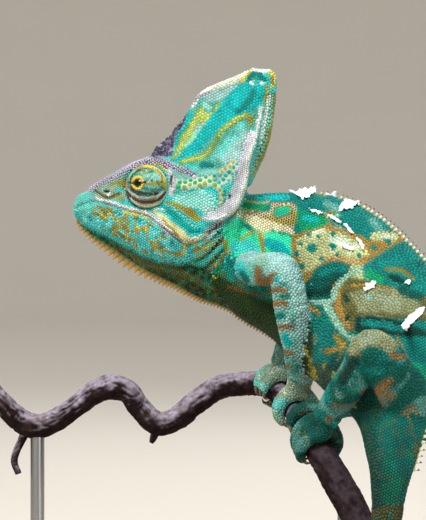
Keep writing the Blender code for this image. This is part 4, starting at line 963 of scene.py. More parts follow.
# Ridges and grooves of the skin: height, positive for a ridge, half width and points.
FOLDS = [
    (0.9, 1.3, [(41.8, 29), (39.8, 18), (37.9, 12.6), (36.6, 8.2), (36.1, 3.2), (35.1, -0.7), (33.4, -5.2),
        (30.6, -9.2), (27.4, -11.4), (22.4, -12.6)]),
    (-0.7, 0.9, [(37.6, -0.4), (36.4, -4.4), (34, -8.8), (30.6, -12.2), (26, -14)]),
    (0.7, 1.6, [(-21, -1), (-15.9, 1.9), (-10.4, 5), (-6, 7.6), (-1.5, 9.2), (3, 9.4), (7.4, 8), (12, 6.2),
        (17, 4.4), (24, 4.6), (30, 6.4)]),
    (-0.5, 1.2, [(9.4, 9.6), (14, 8), (20, 6.6), (26, 7)]),
    (0.5, 0.9, [(9, -1.4), (14, -0.2), (20, 0.8), (24.4, 0.6), (27, -2.6), (27, -6.4)]),
    (-0.35, 0.8, [(9.4, -3), (14, -2), (20, -1.2), (24, -2), (25, -5)]),
    (0.45, 0.8, [(-19, -4.7), (-14, -6), (-8, -7.8), (-2, -9.2), (2.6, -11.4), (6.4, -14.6), (10.6, -18.2),
        (14, -20.2)]),
    (-0.75, 0.42, [(-27, -8.2), (-23, -6.2), (-19, -5.7), (-14, -7), (-8, -8.9), (-2, -10.4), (2, -12.4),
        (6, -16), (10, -19.4), (14, -21.8), (17, -21)]),
    (0.35, 0.8, [(-26, -9.4), (-19, -7.4), (-14, -8.6), (-8, -10.5), (-2, -12), (2, -14.2), (6, -17.8),
        (10, -21)]),
    (0.5, 1, [(5, -11), (8.4, -14.2), (12, -17.6), (15.4, -19.6), (19, -18.6), (22, -17)]),
    (-0.4, 0.7, [(7.4, -10.4), (11, -13.8), (15, -17.4), (19, -17)]),
    (0.5, 1.1, [(12, 9), (18, 10.4), (23.4, 14.8), (26.4, 20), (32.6, 25), (38, 25.6)]),
    (-0.4, 1.4, [(14, 16), (19, 22), (24, 28), (30, 33)]),
    (0.4, 1, [(12, 13), (17, 17.6), (22, 23.6), (26, 29)]),
    (0.5, 1.3, [(17, 31.4), (22, 35.2), (29, 38), (36, 41)]),
    (-0.5, 1.3, [(-26, -13.4), (-20, -17), (-12, -21), (-5, -25.4), (2, -28), (10, -30.4), (15, -29.6)]),
    (-0.55, 0.7, [(15, -22.6), (19, -20.6), (23, -17), (27, -14.4)]),
    (-0.5, 0.6, [(16.4, -25), (21, -22.4), (25, -18.6), (29, -15)]),
    (-0.5, 0.6, [(18, -28), (22.6, -25), (26.4, -21), (29.6, -17)]),
    (-0.5, 0.6, [(20, -31), (24.6, -27.6), (28, -23.4)]), (-0.45, 0.7, [(22.6, -34), (27, -30), (30, -26)]),
    (-0.6, 1, [(29.6, -13), (30.6, -18), (29, -24), (27, -30), (26, -36)]),
    (-0.4, 1.1, [(54, -18), (54.6, -26), (57, -34), (58.6, -42)]),
    (-0.4, 1.3, [(69, -34), (66.4, -42), (69, -50), (75, -57)]),
    (0.35, 1.3, [(59, -43), (66, -44), (70, -52), (77, -59)]),
    (0.3, 1.4, [(55, -18), (66, -16), (76, -18), (84, -20), (92, -18)]),
]


def fold_relief(places):
    """Height in millimetres of the drawn ridges and grooves at places in side view."""
    height = np.zeros(len(places))
    for rise, wide, line in FOLDS:
        spots = np.array(line, float)
        low, high = spots.min(0) - 3 * wide, spots.max(0) + 3 * wide
        near = (places > low).all(1) & (places < high).all(1)
        gap = reach(places[near], np.c_[spots, np.zeros(len(spots))])
        height[near] += rise * bell(gap, 0, wide)
    return height


def from_eye(points):
    """How far points lie from the middle of the eye turret of their side, in its own radii."""
    return np.linalg.norm((points * (1, 0, 1) + np.abs(points) * (0, 1, 0) - EYE_CENTRE) / EYE_RADII, axis=1)


def relief(points, body, run, turn, places):
    """How far the skin moves outward at each point, beside its coat depth."""
    head, trunk = body == HEAD, body == TRUNK_BODY
    height = fold_relief(places) * (head | trunk)
    nostril = np.hypot(*(places - NOSTRIL).T)
    height -= head * 1.2 * bell(nostril, 0, 0.75)
    height += head * 0.35 * bell(nostril, 1.5, 0.5)
    # the orbit: a groove round the turret and a swollen ring outside it
    gap = from_eye(points) * 8.0 - 8.0
    rear = step(points[:, 0], 2, 5)
    height += head * (-(0.7 + 0.6 * rear) * bell(gap, 0.2 * rear, 0.6 + 0.4 * rear))
    height += head * (1 - rear) * 0.45 * bell(gap, 1.5, 0.7)
    # faint ribs and the soft rolling of loose skin
    ribbed = trunk * step(run, 0.2, 0.3) * (1 - step(run, 0.62, 0.75))
    height += ribbed * 0.22 * np.sin(run * 66) * np.abs(np.sin(2 * np.pi * turn))
    height += 0.22 * noise(points, 7, seed=8) * (trunk | (body >= LIMB_STEP))
    # creases of the limbs at their bends, and rings round the tail
    creased = step(np.sin(run * 120 + 3 * noise(points, 6, seed=9)), 0.2, 0.9)
    height -= limb_parts(body)[0] * 0.3 * (bell(run, 0.5, 0.16) + bell(run, 0.97, 0.09)) * creased
    height -= (body == TAIL) * 0.16 * step(np.sin(run * 300), 0.5, 1.0)
    return np.clip(height, -1.3, 0.95)


# ---------------------------------------------------------------- meshes and materials

def link(name, mesh):
    obj = bpy.data.objects.new(name, mesh)
    bpy.context.scene.collection.objects.link(obj)
    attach(obj, "root")
    return obj


def from_bmesh(name, bm, *materials, angle=None):
    bmesh.ops.recalc_face_normals(bm, faces=bm.faces)
    mesh = bpy.data.meshes.new(name)
    bm.to_mesh(mesh)
    bm.free()
    for material in materials:
        mesh.materials.append(material)
    mesh.shade_smooth()
    if angle:
        mesh.set_sharp_from_angle(angle=math.radians(angle))
    return link(name, mesh)


def applied(obj, kind, **settings):
    """The object with one modifier applied."""
    modifier = obj.modifiers.new(kind.title(), kind)
    for key, value in settings.items():
        setattr(modifier, key, value)
    mesh = bpy.data.meshes.new_from_object(obj.evaluated_get(bpy.context.evaluated_depsgraph_get()))
    obj.modifiers.remove(modifier)
    obj.data = mesh
    return obj


def read(items, name, width=3, kind=np.float32):
    found = np.empty(len(items) * width, kind)
    items.foreach_get(name, found)
    if width == 1:
        return found
    return found.reshape(-1, width).astype(float if kind == np.float32 else kind)


def read_places(mesh):
    """A mesh's vertices in millimetres from the eye line."""
    return read(mesh.vertices, "co") / MM - EYE


def write(items, name, values, kind=np.float32):
    items.foreach_set(name, np.asarray(values).astype(kind).ravel())


def colour_layer(mesh, colours):
    layer = mesh.color_attributes.new("tint", "FLOAT_COLOR", "POINT")
    write(layer.data, "color", np.c_[np.clip(colours, 0, 1), np.ones(len(colours))])


def blend(first, second, share):
    return first + (second - first) * share


def unwrap(context, obj, margin):
    """Lays the mesh out flat in its OFBake map."""
    obj.data.uv_layers.new(name="OFBake")
    context.view_layer.objects.active = obj
    obj.select_set(True)
    bpy.ops.object.mode_set(mode="EDIT")
    bpy.ops.mesh.select_all(action="SELECT")
    bpy.ops.uv.smart_project(angle_limit=1.15, island_margin=margin)
    bpy.ops.object.mode_set(mode="OBJECT")
    obj.select_set(False)


class Nodes:
    """A node tree built one node at a time: each call gives an output of the node it adds."""

    def __init__(self, tree):
        self.tree = tree

    def feed(self, socket, value):
        """Links a socket to an output, or sets it to a plain value."""
        if isinstance(value, bpy.types.NodeSocket):
            self.tree.links.new(value, socket)
        else:
            socket.default_value = value

    def add(self, kind, inputs=(), out=0, **settings):
        node = self.tree.nodes.new("ShaderNode" + kind)
        for key, value in settings.items():
            setattr(node, key, value)
        for key, value in dict(inputs).items():
            self.feed(node.inputs[key], value)
        return node.outputs[out]

    def place(self, **stretch):
        """The object's own coordinates, scaled or turned."""
        place = self.add("TexCoord", out="Object")
        return self.add("Mapping", {"Vector": place, **stretch}) if stretch else place

    def noise(self, scale, detail, vector=None, **inputs):
        vector = vector or self.place()
        return self.add("TexNoise", {"Vector": vector, "Scale": scale, "Detail": detail, **inputs})

    def ramp(self, value, low, high, start=0.3, end=0.7):
        return self.add("MapRange", {"Value": value, 1: start, 2: end, 3: low, 4: high})

    def mix(self, factor, first, second, way="MIX"):
        """Mixes two colours, each an output or a plain one."""
        first, second = (c if isinstance(c, bpy.types.NodeSocket) else (*c, 1) for c in (first, second))
        return self.add("Mix", {0: factor, 6: first, 7: second}, 2, data_type="RGBA", blend_type=way)

    def shaded(self, factor, colour, value):
        """A colour darkened and lightened by a grey value."""
        grey = self.add("CombineColor", dict.fromkeys(("Red", "Green", "Blue"), value))
        return self.mix(factor, colour, grey, "MULTIPLY")


class Finish(Nodes):
    """A material, its Principled shader's plain sockets set by name."""

    def __init__(self, name, **values):
        self.material = bpy.data.materials.new(name)
        self.material.use_nodes = True
        super().__init__(self.material.node_tree)
        self.shader = self.tree.nodes["Principled BSDF"].inputs
        for key, value in values.items():
            self.shader[key.replace("_", " ")].default_value = value

    def tinted(self):
        return self.add("VertexColor", layer_name="tint")

    def made(self, colour, roughness=None, height=None, strength=0.0, depth=0.3):
        """The material, with its colour, roughness and bump, whose depth is in millimetres, fed by nodes."""
        self.feed(self.shader["Base Color"], colour)
        if roughness:
            self.feed(self.shader["Roughness"], roughness)
        if height:
            bump = self.add("Bump", {"Height": height, "Strength": strength, "Distance": depth * MM})
            self.feed(self.shader["Normal"], bump)
        return self.material


def skin_grain():
    """Node group: fine mottling of colour and gloss that hide, claws and eyes share."""
    group = bpy.data.node_groups.get("skin_grain")
    if group:
        return group
    group = bpy.data.node_groups.new("skin_grain", "ShaderNodeTree")
    for name, kind, value in (
        ("Colour", "Color", (1, 1, 1, 1)), ("Scale", "Float", 900.0), ("Strength", "Float", 0.25),
        ("Gloss", "Float", 0.5),
    ):
        socket = group.interface.new_socket(name, in_out="INPUT", socket_type="NodeSocket" + kind)
        socket.default_value = value
    for name, kind in (("Colour", "Color"), ("Roughness", "Float"), ("Height", "Float")):
        group.interface.new_socket(name, in_out="OUTPUT", socket_type="NodeSocket" + kind)
    nodes = Nodes(group)
    entry, leave = group.nodes.new("NodeGroupInput").outputs, group.nodes.new("NodeGroupOutput").inputs
    grain = nodes.noise(entry["Scale"], 3.0)
    nodes.feed(leave["Colour"], nodes.shaded(entry["Strength"], entry["Colour"], nodes.ramp(grain, 0.7, 1.2)))
    gloss = nodes.add("Math", {0: grain, 1: 0.3, 2: entry["Gloss"]}, operation="MULTIPLY_ADD")
    nodes.feed(leave["Roughness"], gloss)
    nodes.feed(leave["Height"], grain)
    return group


def hide_material(name, gloss=0.35, strength=0.25, bump=0.15, grain=900.0, **values):
    """Painted hide: its colour comes from the mesh's tint, broken by fine grain."""
    hide = Finish(name, **values)
    inputs = {"Colour": hide.tinted(), "Scale": grain, "Strength": strength, "Gloss": gloss}
    effect = hide.add("Group", inputs, node_tree=skin_grain()).node.outputs
    return hide.made(effect["Colour"], effect["Roughness"], effect["Height"], bump)


# ---------------------------------------------------------------- skin and scales

def flesh_lofts():
    """All the overlapping bodies of the flesh, each vertex marked with its body, run and turn."""
    bm = bmesh.new()
    rolled(bm, 120, 160, head_place, HEAD)
    rolled(bm, 96, 150, trunk_place, TRUNK_BODY)
    tube(bm, tail_rows(), 20, 5, TAIL, np.array([0.0, 1.0, 0.0]))
    for name, (joints, index, counts) in LIMBS.items():
        body = LIMB_BODIES[name]
        tube(bm, joints, 26, 9, body)
        spot, thick, up, _ = foot_frame(index, joints[-1])
        palm, wrist = spot + up * (thick + PALM_RADIUS * 0.8), np.array(joints[-1])
        middle = (wrist[:3] + palm) / 2
        sole = (*(spot + up * thick), 3.5)
        tube(bm, [tuple(wrist), (*middle, PALM_RADIUS), (*palm, PALM_RADIUS), sole], 22, 5, body + 1)
        for number, (rows, _, _) in enumerate(toes(index, joints[-1], counts)):
            tube(bm, [(*palm, 3.0), *rows], 14, 4, body + 2 + number)
    return bm


class CHAMELEON_OT_skin(bpy.types.Operator):
    """Fuses head, trunk, tail and limbs into one skin, sculpts its folds and paints it"""
    bl_idname = "chameleon.skin"
    bl_label = "Skin"

    def execute(self, context):
        sizes = context.scene.chameleon_sizes
        bm = flesh_lofts()
        source = np.array([vert.co for vert in bm.verts])
        marks = marks_of(bm, *MARKS)
        skin = from_bmesh("skin", bm)
        applied(skin, "REMESH", mode="VOXEL", voxel_size=coarser(sizes.voxel))
        applied(skin, "SMOOTH", factor=0.5, iterations=2)
        mesh = skin.data
        marked = nearest_marks(read(mesh.vertices, "co"), source, marks)
        points = read_places(mesh)
        places = flattened(points, *marked)
        depth = relief(points, *marked, places) - sizes.coat / MM
        points = points + read(mesh.vertex_normals, "vector") * depth[:, None]
        write(mesh.vertices, "co", world(points))
        mesh.update()
        _, rim, edge = markings(points, *marked, places)
        colour_layer(mesh, rim * (0.5 + 0.2 * edge)[:, None])
        for name, values in zip(MARKS, marked):
            write(mesh.attributes.new(name, "FLOAT", "POINT").data, "value", values)
        look = {"gloss": 0.5, "strength": 0.3, "grain": 1400.0, "Specular_IOR_Level": 0.15}
        mesh.materials.append(hide_material("hide_skin", **look))
        mesh.shade_smooth()
        unwrap(context, skin, 0.002)
        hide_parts(*[name for name in FLESH if name in frame["nodes"]])
        return {"FINISHED"}


def thinned(points, spacing):
    """Which points to keep so that none lies nearer another than its spacing."""
    tree = search_tree(points)
    free, kept = np.ones(len(points), bool), []
    for k, spot in enumerate(points):
        if free[k]:
            kept.append(k)
            for _, other, _ in tree.find_range(spot, spacing[k]):
                free[other] = False
    return np.array(kept)


def neighbours(spots, count):
    """Each spot's nearest others: the way to them and how far they are."""
    tree = search_tree(spots)
    ids = np.array([[n[1] for n in tree.find_n(spot, count + 1)][1:] for spot in spots])
    away = spots[ids] - spots[:, None]
    return away, np.linalg.norm(away, axis=2)


# A spacing that means no scales, and how steeply a flank may lean and still carry even rows.
BARE, FLANK_LEAN = 99, 0.72
SEEDS_PER_SCALE = 7.0


class Surface:
    """A mesh as arrays in millimetres, with a search tree."""

    def __init__(self, obj):
        mesh = obj.data
        mesh.calc_loop_triangles()
        self.points = read_places(mesh)
        self.normals = read(mesh.vertex_normals, "vector")
        self.tris = read(mesh.loop_triangles, "vertices", 3, np.int32)
        self.corners = read(mesh.loop_triangles, "loops", 3, np.int32)
        self.tree = BVHTree.FromPolygons([Vector(p) for p in self.points], self.tris.tolist())
        self.uv = read(mesh.uv_layers["OFBake"].uv, "vector", 2) if mesh.uv_layers else None
        self.data = {name: read(mesh.attributes[name].data, "value", 1) for name in MARKS}

    def nearest(self, spots):
        """Each spot's place on the surface, its normal, and the triangle there."""
        found = [self.tree.find_nearest(Vector(spot)) for spot in spots]
        where, tri = (np.array([hit[k] for hit in found]) for k in (0, 2))
        a, b, c = (self.points[self.tris[tri, k]] for k in range(3))
        full = np.maximum(np.linalg.norm(np.cross(b - a, c - a), axis=1), 1e-9)
        wa = np.linalg.norm(np.cross(b - where, c - where), axis=1) / full
        wb = np.linalg.norm(np.cross(c - where, a - where), axis=1) / full
        share = np.c_[wa, wb, np.maximum(0, 1 - wa - wb)]
        share /= share.sum(1, keepdims=True)
        return where, unit((self.normals[self.tris[tri]] * share[:, :, None]).sum(1)), tri, share

    def in_rows(self, spacing, lean):
        """Roots in even rows that lean by an angle, on the parts that face a side, with the spacing
        given at each vertex."""
        found = []
        turned = np.array([[math.cos(lean), -math.sin(lean)], [math.sin(lean), math.cos(lean)]])
        for size in np.unique(spacing[spacing < BARE]):
            own = self.points[spacing == size]
            pitch = size * 1.07
            low, high = own.min(0)[[0, 2]], own.max(0)[[0, 2]]
            count = int(np.hypot(*(high - low)) / 2 / pitch) + 2
            column, row = np.meshgrid(np.arange(-count, count + 1), np.arange(-count, count + 1))
            flat = np.c_[(column + 0.5 * (row % 2)).ravel(), (row * 0.866).ravel()]
            flat = flat * pitch @ turned.T + (low + high) / 2
            for x, z in flat[((flat > low - 1) & (flat < high + 1)).all(1)]:
                start = Vector((x, -120.0, z))
                while True:
                    hit, normal, tri, _ = self.tree.ray_cast(start, (0, 1, 0))
                    if hit is None:
                        break
                    around = spacing[self.tris[tri]]
                    if abs(normal.y) > FLANK_LEAN and around.max() < BARE and around[0] == size:
                        found.append((*hit, tri))
                    start = hit + Vector((0, 0.01, 0))
        return np.array(found)

    def scatter(self, spacing, seed, rounds=2, rows=None):
        """Roots spread evenly over the surface, spacing apart, which is given at each vertex."""
        rng = np.random.default_rng(seed)
        a, b, c = (self.points[self.tris[:, k]] for k in range(3))
        each = np.linalg.norm(np.cross(b - a, c - a), axis=1) / 2
        gap = spacing[self.tris].mean(1)
        want = np.where(spacing[self.tris].max(1) < BARE, each / gap**2 * SEEDS_PER_SCALE, 0)
        tri = rng.choice(len(want), int(want.sum()), p=want / want.sum())
        u, v = rng.random((2, len(tri)))
        u, v = np.where(u + v > 1, 1 - u, u), np.where(u + v > 1, 1 - v, v)
        spots = a[tri] + (b - a)[tri] * u[:, None] + (c - a)[tri] * v[:, None]
        if rows is not None:
            spots, tri = np.r_[rows[:, :3], spots], np.r_[rows[:, 3].astype(int), tri]
        kept = thinned(spots, gap[tri])
        spots, gap = spots[kept], gap[tri[kept]]
        for _ in range(rounds):
            away, far = neighbours(spots, 8)
            push = np.clip(1.25 * gap[:, None] - far, 0, None) / np.maximum(far, 1e-6)
            spots = self.nearest(spots - 0.22 * (away * push[:, :, None]).sum(1))[0]
        return spots, gap

    def laid_at(self, tri, share):
        """Where the map holds the given places of triangles."""
        return (self.uv[self.corners[tri]] * share[:, :, None]).sum(1)


# Sides of a scale's outline, and how far the scale reaches on the OFBake map.
SIDES, SCALE_MAP_RADIUS = 7, 0.0015


def scale_mesh(name, spots, normals, gap, core, rim, edge, dome, uv, material, seed=0):
    """One mesh of low domed scales whose outlines meet their neighbours' half way."""
    rng = np.random.default_rng(seed)
    count = len(spots)
    away, _ = neighbours(spots, 11)
    first = unit(np.cross(normals, np.array([0.31, 0.2, 0.93])))
    second = np.cross(normals, first)
    flat = np.stack([(away * first[:, None]).sum(2), (away * second[:, None]).sum(2)], 2)
    square = (flat**2).sum(2)
    ring = np.arange(SIDES)
    corner = ring * 2 * math.pi / SIDES
    angle = rng.random(count)[:, None] * 2 * math.pi / SIDES + corner
    way = np.stack([np.cos(angle), np.sin(angle)], 2)
    facing = np.einsum("njc,nmc->nmj", flat, way)
    half_way = np.where(facing > 1e-3, square[:, None] / (2 * np.maximum(facing, 1e-3)), 1e3).min(2)
    radius = np.minimum(half_way, gap[:, None] * 0.85)
    size = radius.mean(1)
    height = dome * size * rng.uniform(0.85, 1.15, count)
    outward = way[:, :, :1] * first[:, None] + way[:, :, 1:] * second[:, None]
    tip = spots + normals * height[:, None] + first * (rng.uniform(-0.12, 0.12, count) * size)[:, None]
    base = spots[:, None] + outward * (radius * 0.99)[:, :, None] - normals[:, None] * 0.2
    shoulder = spots[:, None] + outward * (radius * (0.84 - 0.16 * edge)[:, None])[:, :, None]
    shoulder = shoulder + normals[:, None] * (height * 0.62)[:, None, None]
    points = np.concatenate([base, shoulder, tip[:, None]], 1)
    vary = (1 + rng.normal(0, 0.08, (count, 1))) * (1 + rng.normal(0, 0.03, (count, 3)))
    core, rim, edge = core * vary, rim * vary, edge[:, None]
    soft = 0.6 + 0.9 * np.clip(0.5 - dome, 0, 0.3)[:, None]
    low_ring, high_ring = rim * (soft + (0.95 - soft) * edge), core * (0.9 + 0.06 * edge)
    rings = [np.repeat(colour[:, None], SIDES, 1) for colour in (low_ring, high_ring)]
    after = (ring + 1) % SIDES
    quads = np.stack([ring, after, after + SIDES, ring + SIDES], 1)
    tips = np.stack([ring + SIDES, after + SIDES, np.full(SIDES, 2 * SIDES)], 1)
    start = (np.arange(count) * points.shape[1])[:, None, None]
    loops = np.concatenate([(faces[None] + start).reshape(count, -1) for faces in (quads, tips)], 1).ravel()
    totals = np.tile(np.repeat((4, 3), SIDES), count)
    mesh = bpy.data.meshes.new(name)
    mesh.vertices.add(points.size // 3)
    write(mesh.vertices, "co", world(points.reshape(-1, 3)))
    mesh.loops.add(len(loops))
    write(mesh.loops, "vertex_index", loops, np.int32)
    mesh.polygons.add(len(totals))
    write(mesh.polygons, "loop_start", np.r_[0, np.cumsum(totals)[:-1]], np.int32)
    mesh.update(calc_edges=True)
    colour_layer(mesh, np.concatenate([*rings, core[:, None] * 1.05], 1).reshape(-1, 3))
    fan = np.stack([np.cos(corner), np.sin(corner)], 1) * SCALE_MAP_RADIUS
    patch = np.concatenate([fan, fan * 0.6, [[0, 0]]])
    laid = (uv[:, None] + patch[None]).reshape(-1, 2)
    write(mesh.uv_layers.new(name="OFBake").uv, "vector", laid[loops])
    mesh.materials.append(material)
    mesh.shade_smooth()
    obj = link(name, mesh)
    return obj


# Where the head's scales differ: how much wider they are, how high they dome, and the stroke they fill.
HEAD_SCALES = [
    (1.4, 0.2, [(12, 11, 1.5), (18, 16, 3), (25, 24, 4), (33, 31, 5.5), (40, 36, 4)]),
    (1.3, 0.24, [(16, 26, 2), (22, 30, 4), (30, 35, 3)]),
    (1.25, 0.24, [(26, 9, 3), (33, 14, 4), (38, 22, 4)]),
    (1.12, 0.34, [(-23, -8, 4), (-20, -11, 3), (-10, -14, 4), (2, -20, 4.6), (12, -24, 4)]),
    (1.25, 0.25, [(12, -6, 2.6), (18, -5, 3.6), (22, -7, 2.6)]),
    (1.15, 0.34, [(4, -8.6, 1.2), (10, -11.6, 2), (17, -17, 2)]),
    (2.4, 0.34, [(11, 2, 1.5), (17, 2, 2), (24, 2, 2), (28, 3, 2), (31, 7, 2)]),
    (2.4, 0.36, [(10, -0.8, 0.9), (17, 0.1, 0.9), (24, 0.5, 0.9), (27, -3, 1), (26.6, -7, 1)]),
    (1.2, 0.5, [(41, 8, 2), (44, 20, 2), (46, 34, 2)]),
    (1.6, 0.6, [(4, 13, 2.5), (9, 19, 2.5), (14, 27, 1)]),
    (1.1, 0.45, [(-20, -0.4, 1), (-15.9, 1.8, 1.4), (-10.4, 4.6, 1.5), (-6, 7.2, 1.2), (-1.5, 9.3, 1.1),
        (3, 9.6, 1.3), (6.6, 8.4, 1.2), (9.5, 5.4, 1), (10, 1.4, 1)]),
    (0.95, 0.16, [(40, 22, 1.4), (36, 10, 2.2), (33, -4, 2.8), (24, -11, 1.8)]),
]


def scale_spacing(points, body, places, sizes):
    """Spacing of the scales and how high they dome, at each point."""
    head_gap = sizes.head_scale / MM
    gap = np.full(len(points), sizes.body_scale / MM)
    dome = np.full(len(points), 0.5)
    head, (shaft, foot) = body == HEAD, limb_parts(body)
    gap[head | (body == TAIL)] = head_gap
    gap[foot] = sizes.foot_scale / MM
    gap[shaft] = head_gap * 1.05
    dome[shaft | foot] = 0.32
    for grow, flat, line in HEAD_SCALES:
        near = head & (reach(places, line) < 0)
        gap[near] = head_gap * grow
        dome[near] = flat
    gap[head & (places[:, 0] < 6) & (places[:, 1] > -12)] *= 0.88
    return gap, dome


class CHAMELEON_OT_scales(bpy.types.Operator):
    """Covers the skin with granules and plates that carry its markings"""
    bl_idname = "chameleon.scales"
    bl_label = "Scales"

    def execute(self, context):
        sizes = context.scene.chameleon_sizes
        surface = Surface(bpy.data.objects["skin"])
        body, run, turn = (surface.data[name] for name in MARKS)
        body = np.round(body).astype(int)
        places = flattened(surface.points, body, run, turn)
        gap, _ = scale_spacing(surface.points, body, places, sizes)
        at_nostril = np.hypot(*(places - NOSTRIL).T) < 0.9
        gap[(body == HEAD) & (at_nostril | (from_eye(surface.points) < 1.0))] = BARE
        bark = along(BRANCH, np.linspace(0, len(BRANCH) - 1, 400))
        feet = np.flatnonzero(limb_parts(body)[1])
        far = np.linalg.norm(surface.points[feet, None] - bark[None, :, :3], axis=2) - bark[:, 3]
        gap[feet[far.min(1) < 0.55]] = BARE
        gap = coarser(gap)
        leans = ((HEAD, -0.62), (TRUNK_BODY, 0.35))
        flanks = [surface.in_rows(np.where(body == part, gap, BARE), lean) for part, lean in leans]
        spots, gap = surface.scatter(gap, 5, rows=np.concatenate(flanks))
        where, normals, tri, share = surface.nearest(spots)
        pick = surface.tris[tri, share.argmax(1)]
        body, run, turn = body[pick], run[pick], turn[pick]
        places = flattened(where, body, run, turn)
        _, dome = scale_spacing(where, body, places, sizes)
        uv = surface.laid_at(tri, share)
        look = {"gloss": 0.3, "strength": 0.2, "bump": 0.08, "grain": 1800.0, "Specular_IOR_Level": 0.12}
        material = hide_material("hide_scales", **look)
        head, trunk, left = body == HEAD, body == TRUNK_BODY, where[:, 1] < 0
        groups = {
            "head_left": head & left, "head_right": head & ~left,
            "trunk_left": trunk & (turn < 0.5), "trunk_right": trunk & (turn >= 0.5),
            "arms": (body >= LIMB_STEP) & (body < 3 * LIMB_STEP), "legs": body >= 3 * LIMB_STEP,
            "tail": body == TAIL,
        }
        every = (where, normals, gap, *markings(where, body, run, turn, places), dome, uv)
        for number, (name, own) in enumerate(groups.items()):
            scale_mesh(f"scales_{name}", *(values[own] for values in every), material, number)
        return {"FINISHED"}


# ---------------------------------------------------------------- crests and claws

def thorn(bm, root, outward, ahead, wide, thick, height, lean, body=0):
    """A pointed scale, wide along the crest and thick across it, sunk at its root and leaning back."""
    outward, ahead = unit(np.asarray(outward, float)), unit(np.asarray(ahead, float))
    across = unit(np.cross(ahead, outward))
    sunk = 0.45 * height

    def place(turn, run):
        angle = (2 * math.pi * turn)[:, None]
        grow = np.maximum(0.02, 1 - run)[:, None] ** 0.75
        middle = root + outward * (run * (height + sunk) - sunk)[:, None] + ahead * (lean * run**2)[:, None]
        return middle + grow * (wide * np.cos(angle) * ahead + thick * np.sin(angle) * across)

    rolled(bm, 8, 5, place, body)


class CHAMELEON_OT_crests(bpy.types.Operator):
    """Sets the pointed scales of the throat and belly crest and the low knobs of the back"""
    bl_idname = "chameleon.crests"
    bl_label = "Crests"

    def execute(self, context):
        rng = np.random.default_rng(4)
        tints = Paint(1, "gold").tints
        for name, line in (("crest_throat", belly_line()), ("crest_back", back_line())):
            bm = bmesh.new()
            throat = name == "crest_throat"
            rows = list(spread(line, 400))
            # the throat's spines stand closest at its ends
            close, count = np.ones(len(rows)), BACK_SPINES
            if throat:
                close = 1 / (1.3 + 1.0 * bell(np.linspace(0, 1, len(rows)), 0.27, 0.16))
                count = int(np.linalg.norm(np.diff(line, axis=0), axis=1).sum() * close.mean())
            share = np.cumsum(close) / close.sum()
            for number in range(count):
                part, here, ahead = rows[int(np.searchsorted(share, (number + 0.5) / count))]
                if throat:
                    size = np.interp(part, GULAR_PARTS, GULAR_SIZES) * rng.uniform(0.92, 1.06)
                    outward = (ahead[2] - 0.25, 0, -ahead[0] - 0.05)
                    shape = (1.6 * size, 0.9 * size, GULAR_HEIGHT * size, 0.3 * size)
                else:
                    size = min(1, 0.45 + (here[0] - BARE_NAPE) / 32) * rng.uniform(0.9, 1.1)
                    outward = unit(trunk_frame(1.0 + 8.2 * part)[1]) + ahead * 0.35
                    shape = (1.0 * size, 0.75 * size, BACK_HEIGHT * size, 0.3 * size)
                if throat or here[0] >= BARE_NAPE:
                    thorn(bm, here, outward, ahead, *shape, part)
            run = marks_of(bm, "run")
            crest = from_bmesh(name, bm)
            if throat:
                shade = blend(tints["olive"], tints["ochre"], step(run, 0.15, 0.45))
                shade = blend(shade, tints["horn"], step(run, 0.4, 0.8))
            else:
                shade = blend(tints["salmon"], tints["cream"], step(run, 0.3, 0.55))
                shade = blend(shade, tints["night"], step(run, 0.62, 0.8))
            colour_layer(crest.data, shade)
            crest.data.materials.append(hide_material(name, gloss=0.3, strength=0.35))
        return {"FINISHED"}


def claw_rows(toe):
    """The claw at the end of a toe, from root to tip."""
    rows, foot, way = toe
    end, before = np.array(rows[-1][:3]), np.array(rows[-2][:3])
    ahead = unit(end - before)
    root = end + ahead * 0.2
    return [
        (*(root - ahead * 0.5), CLAW_RADIUS * 1.05), (*root, CLAW_RADIUS),
        (*around_branch(foot, way, TOE_ANGLES[-1] + 18, 1.7), CLAW_RADIUS * 0.66),
        (*around_branch(foot, way, TOE_ANGLES[-1] + 32, 0.85), 0.13),
    ]


CLAW_ROOT, CLAW_TIP = linear("6b5f48"), linear("2a231c")


class CHAMELEON_OT_claws(bpy.types.Operator):
    """Makes the twenty curved claws"""
    bl_idname = "chameleon.claws"
    bl_label = "Claws"

    def execute(self, context):
        bm = bmesh.new()
        names = []
        for name, (joints, index, counts) in LIMBS.items():
            for number, toe in enumerate(toes(index, joints[-1], counts), 1):
                tube(bm, claw_rows(toe), 12, 5)
                names.append(f"claw_{name}_{number}")
        run = marks_of(bm, "run")
        claws = from_bmesh("claws", bm)
        colour_layer(claws.data, blend(CLAW_ROOT, CLAW_TIP, step(run, 0.35, 0.95)))
        claws.data.materials.append(hide_material("claw_horn", gloss=0.12, strength=0.4, grain=2600.0))
        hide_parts(*names)
        return {"FINISHED"}


# ---------------------------------------------------------------- eyes

EYE_GAZE = (-3.45, -6.86, 1.27)
LID_OPENING = 1.6
BALL_RADIUS, PUPIL, IRIS_RADIUS = 3.0, 1.3, 1.65
BALL_TINTS = (linear("050404"), linear("5a3f12"), linear("1c1208"))
IRIS = (-3.85, 1.15)
